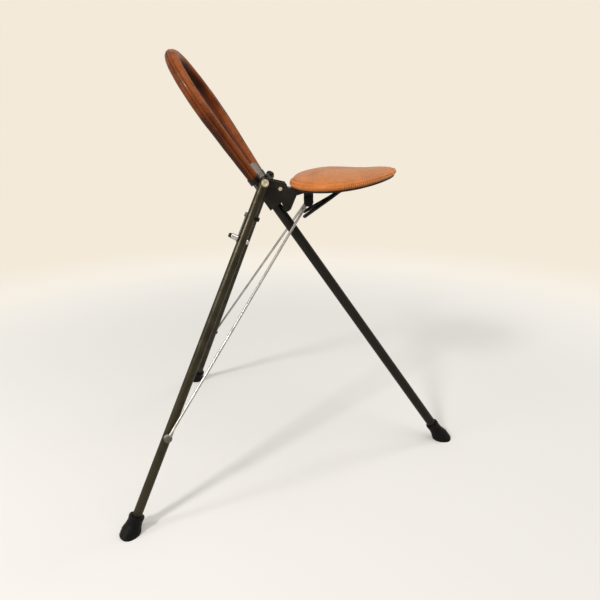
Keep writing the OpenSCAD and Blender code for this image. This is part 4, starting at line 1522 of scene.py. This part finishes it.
@dataclass
class Studio:
    """A plain pale floor, soft light and the photograph's camera."""

    backdrop: Colour = (0.90, 0.82, 0.70)  # The air behind, into which the floor melts.
    haze: Colour = (1.0, 0.98, 0.93)  # The light that lies over the floor near the stool.
    ground: Colour = (1.0, 0.98, 0.94)  # The floor as it is seen.
    bounce: Colour = (0.42, 0.40, 0.37)  # The floor as it lights the stool from below.
    daylight: Colour = (1.0, 0.985, 0.96)  # The even light from all round.
    air: float = 0.26  # Strength of that light.
    mist: Pair = (0.6, 2.0)  # Distances where the mist over the floor starts and is full, in metres.
    mist_near: float = 0.16  # Mist near the stool.
    melt: Pair = (0.7, 2.6)  # Distances where the haze starts and ends to take the backdrop's colour.
    mirrored: float = 0.5  # How much of the backdrop a glossy surface shows.
    camera_at: Triple = (-16.0, -1057.0, 720.0)  # Place of the camera in millimetres.
    camera_down: float = radians(18.4)  # How far the camera looks down.
    sensor: float = 36.0  # Width of the camera's sensor in millimetres.
    floor_radius: float = 30.0  # Radius of the floor in metres.
    floor_sides: int = 64

    LAMPS = (
        Lamp("key", (-1.9, -2.3, 2.6), (0.5, 0.5), 60.0, (1.0, 0.97, 0.93)),
        Lamp("ceiling", (0.9, -0.5, 2.8), (2.2, 2.2), 24.0, (1.0, 0.98, 0.95)),
        Lamp("side strip", (-1.45, -0.7, 1.2), (0.2, 1.3), 4.5),
        Lamp("back window", (1.6, 1.0, 2.2), (0.7, 0.9), 8.0),
    )

    def floor(self) -> None:
        """Lays the floor, which melts into the backdrop far from the stool."""
        mesh = bpy.data.meshes.new("floor")
        radius = self.floor_radius
        rim = [(radius * cos(a), radius * sin(a), 0.0) for a in round_turn(self.floor_sides)]
        mesh.from_pydata(rim, [], [tuple(range(len(rim)))])
        floor = placed("floor", mesh)
        bench = bench_for("floor")
        away = bench.add("ShaderNodeVectorMath", {"operation": "LENGTH"}, {0: bench.place()}, "Value")
        mist = self.mist_near + bench.between(away, *self.mist) * (1 - self.mist_near)
        seen = bench.mix(self.seen(bench), self.bounce, self.ground)
        paint = bench.add("ShaderNodeBsdfDiffuse", None, {"Color": seen})
        air = bench.mix(bench.between(away, *self.melt), self.haze, self.backdrop)
        glow = bench.add("ShaderNodeEmission", None, {"Color": air, "Strength": 1.0})
        shader = bench.add("ShaderNodeMixShader", None, {0: mist * self.seen(bench), 1: paint, 2: glow})
        bench.close("ShaderNodeOutputMaterial", shader)
        mesh.materials.append(bench.owner)

    def seen(self, bench: Bench) -> Shade:
        """1 where the backdrop is seen, less in a gloss, and 0 where it only lights."""
        path = bench.add("ShaderNodeLightPath", output="Is Camera Ray")
        return path + path.other("Is Glossy Ray") * self.mirrored + path.other("Is Transmission Ray")

    def world(self) -> None:
        """Lights the air evenly and shows the backdrop's colour."""
        world = bpy.data.worlds.new("studio")
        bpy.context.scene.world = world
        bench = Bench(world)
        light = bench.add("ShaderNodeBackground", None, {"Color": self.daylight, "Strength": self.air})
        show = bench.add("ShaderNodeBackground", None, {"Color": self.backdrop, "Strength": 1.0})
        shader = bench.add("ShaderNodeMixShader", None, {0: self.seen(bench), 1: light, 2: show})
        bench.close("ShaderNodeOutputWorld", shader)

    def camera(self) -> None:
        """Stands the camera where the photograph's was."""
        data = bpy.data.cameras.new("camera")
        data.sensor_width = self.sensor
        data.lens = FOCAL_PX * self.sensor / PHOTO_SIDE_PX
        camera = placed("camera", data)
        camera.location = Vector(self.camera_at) * MM
        camera.rotation_euler = (pi / 2 - self.camera_down, 0.0, 0.0)
        bpy.context.scene.camera = camera

    def build(self) -> None:
        """Sets up the camera, the floor and the light."""
        bpy.context.scene.view_settings.view_transform = "Standard"
        self.camera()
        self.floor()
        self.world()
        for lamp in self.LAMPS:
            lamp.hang()


def main() -> None:
    """Builds the stool sub-assembly by sub-assembly and reports each piece."""
    logging.basicConfig(level=logging.INFO, format="%(name)s: %(message)s")
    Studio().build()
    log.info("hardware: %d nodes dressed", Hardware().dress())
    seat = SeatCover()
    for part in (seat, HoopSleeve(), *RubberFoot.all_three(), BeltHook(seat)):
        for piece in part.build():
            log.info("%s: %d points", piece.name, len(piece.data.vertices))


if __name__ == "__main__":
    main()
